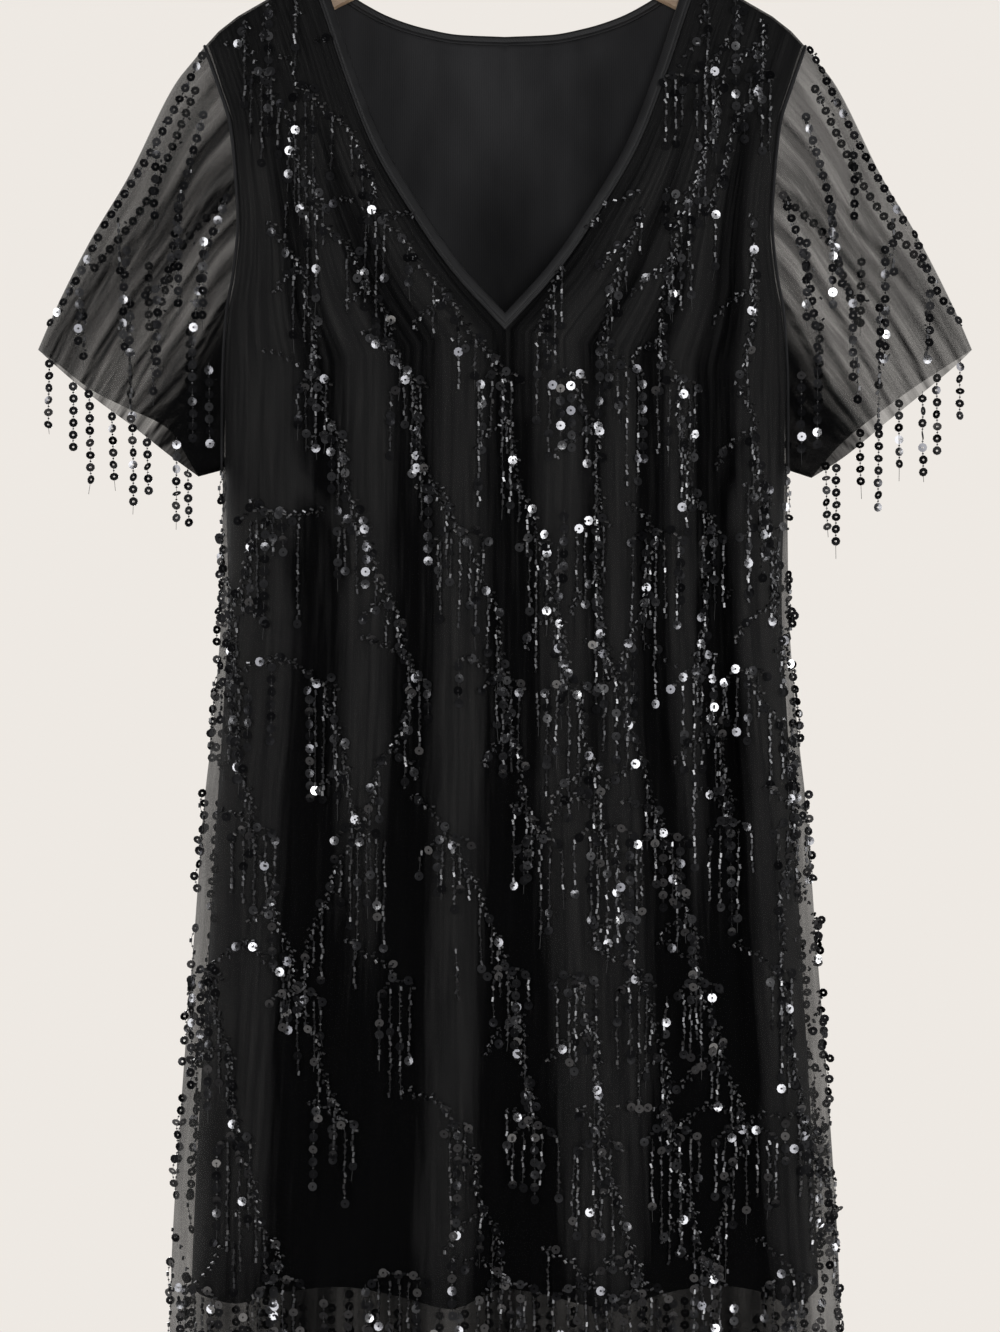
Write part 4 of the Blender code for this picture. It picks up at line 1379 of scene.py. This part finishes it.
def layChain(work, tree, side, points):
    # a line of sequins with a bead between each two
    path = curvePath(points, beads["sequinPitch"] / 2)
    before = None
    for k, (x, y, z) in enumerate(path):
        found = clothAt(tree, side, float(x), float(z))
        hit, normal = found if found else (Vector((x, y, z)), outward(side))
        at = hit + normal
        if before is not None:
            putThread(work, before, at)
        if k % 2 == 0:
            putSequin(work, at + normal * strand["lift"], faceOut(side, normal, 0.8), beads["tilt"])
        else:
            putBead(work, "seed", at, Vector((0, 0, 1)), 0.9)
            if k % 4 == 1:
                beside = at + Vector((chance.normal(0, 2.6), 0, chance.normal(0, 2)))
                putBead(work, "bugle", beside, Vector((chance.normal(), 0, chance.normal())), 0.7)
        before = at


for half in halfSign:
    work = Beadwork("sleeve_" + half)
    tree = sleeveTrees[half]
    for side in sideSign:
        for stem in sleeveWork["stems"][side]:
            path = [sleeveSpot(half, side, share + chance.normal(0, 0.008), along) for share, along in stem]
            layChain(work, tree, side, path)
        for share, along, length in sleeveWork["drops"][side]:
            x, y, z = sleeveSpot(half, side, share, along)
            style = "sequins" if length > 45 else "bugles"
            hangStrand(work, tree, side, x, z, length, style, chance.random() < 0.3)
        # strands round the hem, with those at the back showing between those at the front
        hem = np.array([sleeveSpot(half, side, s, 1.0) for s in np.linspace(0.0, 1.0, 60)])
        across = np.abs(hem[:, 0])
        x = across.max() - sleeveWork["hemStep"] * sleeveWork["hemOffset"][side]
        order = 0
        while x > across.min():
            share = float(np.interp(-x, -across, np.linspace(0, 1, 60)))
            hemX, _, hemZ = sleeveSpot(half, side, share, 1.0)
            lengths = sleeveWork["lengths"]
            length = lengths[(order * 2 + (side == "back")) % len(lengths)] * chance.uniform(0.85, 1.1)
            hangStrand(work, tree, side, hemX, hemZ + 1.5, length, "sequins", chance.random() < 0.35, True)
            x -= sleeveWork["hemStep"] * chance.uniform(0.88, 1.12)
            order += 1
    joinWork(work, ["fringe_sleeve_" + half])
print("sleeve beadwork made")


# stitches on the bindings and the lining hem
stitches = {"pitch": 3.2, "length": 2.3, "offset": 6.2, "hemReach": 222, "hemPitch": 3.6, "hemLength": 2.2,
            "hemRise": 18, "lift": 0.1}
sewing = Beadwork("stitches")
for side in sideSign:
    last = len(neckLine[side]["x"]) - 1
    rows = np.linspace(0.15, last, 700)
    for sign in halfSign.values():
        line = bindingPoint(side, sign, np.full_like(rows, stitches["offset"]), rows, lift=0.05)
        gone = farAlong(line)
        for far in np.arange(2, gone[-1] - 2, stitches["pitch"]):
            ends = (far, far + stitches["length"])
            putThread(sewing, *[Vector([np.interp(end, gone, line[:, i]) for i in range(3)]) for end in ends])
    z = dressForm["liningHem"] + stitches["hemRise"]
    for x in np.arange(-stitches["hemReach"], stitches["hemReach"], stitches["hemPitch"]):
        ends = [clothAt(liningTrees[side], side, float(x) + aside, z) for aside in (0, stitches["hemLength"])]
        if all(ends):
            putThread(sewing, *[hit + normal * stitches["lift"] for hit, normal in ends])
joinWork(sewing)
print("stitching made")


# the hanger keeps its solids, with better finishes
for node, look in (("hanger_wood", "wood"), ("hanger_hook", "hook")):
    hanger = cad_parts[node]
    hanger.data.materials.clear()
    hanger.data.materials.append(looks[look])
print("hanger finished")


# cloth sizes before hanging
cuts = {
    "lining_front": (0.50, 0.99, 0.42),
    "lining_back": (0.50, 0.99, 0.45),
    "net_front": (0.54, 1.09, 0.49),
    "net_back": (0.54, 1.09, 0.52),
    "sleeve": (0.63, 0.26, 0.058),
}
for side in sideSign:
    for layer, held in (("lining", linings[side]), ("net", nets[side])):
        width, length, area = cuts[layer + "_" + side]
for half in halfSign:
    width, length, area = cuts["sleeve"]


# stage, light and camera
stage = {"floorZ": -1.62, "floorRadius": 1.7, "wall": (0.855, 0.815, 0.770), "ambient": (0.12, 0.12, 0.123),
         "floor": [(0.3, (0.70, 0.67, 0.63)), (0.7, (0.74, 0.71, 0.67))]}
bm = bmesh.new()
bmesh.ops.create_circle(bm, cap_ends=True, segments=96, radius=stage["floorRadius"])
bmesh.ops.translate(bm, vec=(0, 0, stage["floorZ"]), verts=bm.verts)
floorMesh = bpy.data.meshes.new("floor")
bm.to_mesh(floorMesh)
bm.free()
floorLook, tree, shader, place = startMaterial("pale floor", Roughness=0.8)
tree.links.new(blendColours(tree, noise(tree, place, 3, 3), stage["floor"]), shader.inputs["Base Color"])
floorMesh.materials.append(floorLook)
floor = addObject("floor", floorMesh)

world = bpy.data.worlds.new("pale studio")
bpy.context.scene.world = world
world.use_nodes = True
tree = world.node_tree
seen = addNode(tree, "LightPath").outputs["Is Camera Ray"]
wallGlow = addNode(tree, "Background", {"Color": (*stage["wall"], 1), "Strength": 1.0})
roomGlow = addNode(tree, "Background", {"Color": (*stage["ambient"], 1), "Strength": 1.0})
mixGlow = addNode(tree, "MixShader", {0: seen, 1: roomGlow.outputs[0], 2: wallGlow.outputs[0]})
tree.links.new(mixGlow.outputs[0], tree.nodes["World Output"].inputs["Surface"])

lights = {
    "key": {"at": (0.26, -2.55, -0.54), "size": (0.54, 0.96), "power": 25.5},
    "fill": {"at": (0.0, -2.80, -0.35), "size": (2.40, 2.40), "power": 2.5},
    "right": {"at": (2.2, -1.30, -0.25), "size": (0.26, 2.20), "power": 27},
    "left": {"at": (-2.2, -1.15, -0.25), "size": (0.26, 2.20), "power": 26},
    "back": {"at": (-0.4, 2.60, -0.50), "size": (0.60, 0.90), "power": 22},
    "backRight": {"at": (-2.2, 1.40, -0.55), "size": (0.30, 2.20), "power": 70},
    "backLeft": {"at": (2.2, 1.30, -0.55), "size": (0.30, 2.20), "power": 28},
}
aim = Vector((0, 0, -0.62))
for name, light in lights.items():
    lamp = bpy.data.lights.new(name, "AREA")
    lamp.shape = "RECTANGLE"
    lamp.size, lamp.size_y = light["size"]
    lamp.energy = light["power"]
    holder = addObject(name, lamp)
    holder.location = light["at"]
    holder.rotation_euler = (aim - Vector(light["at"])).to_track_quat("-Z", "Y").to_euler()

view = {"lens": 85, "film": 36, "away": 2.33, "x": -0.0037, "z": -0.6353}
eye = bpy.data.cameras.new("camera")
eye.sensor_fit = "VERTICAL"
eye.sensor_height = view["film"]
eye.lens = view["lens"]
camera = addObject("camera", eye)
camera.location = (view["x"], -view["away"], view["z"])
camera.rotation_euler = (math.radians(90), 0, 0)
bpy.context.scene.camera = camera
bpy.context.scene.view_settings.view_transform = "Standard"
print("stage, lights and camera placed")
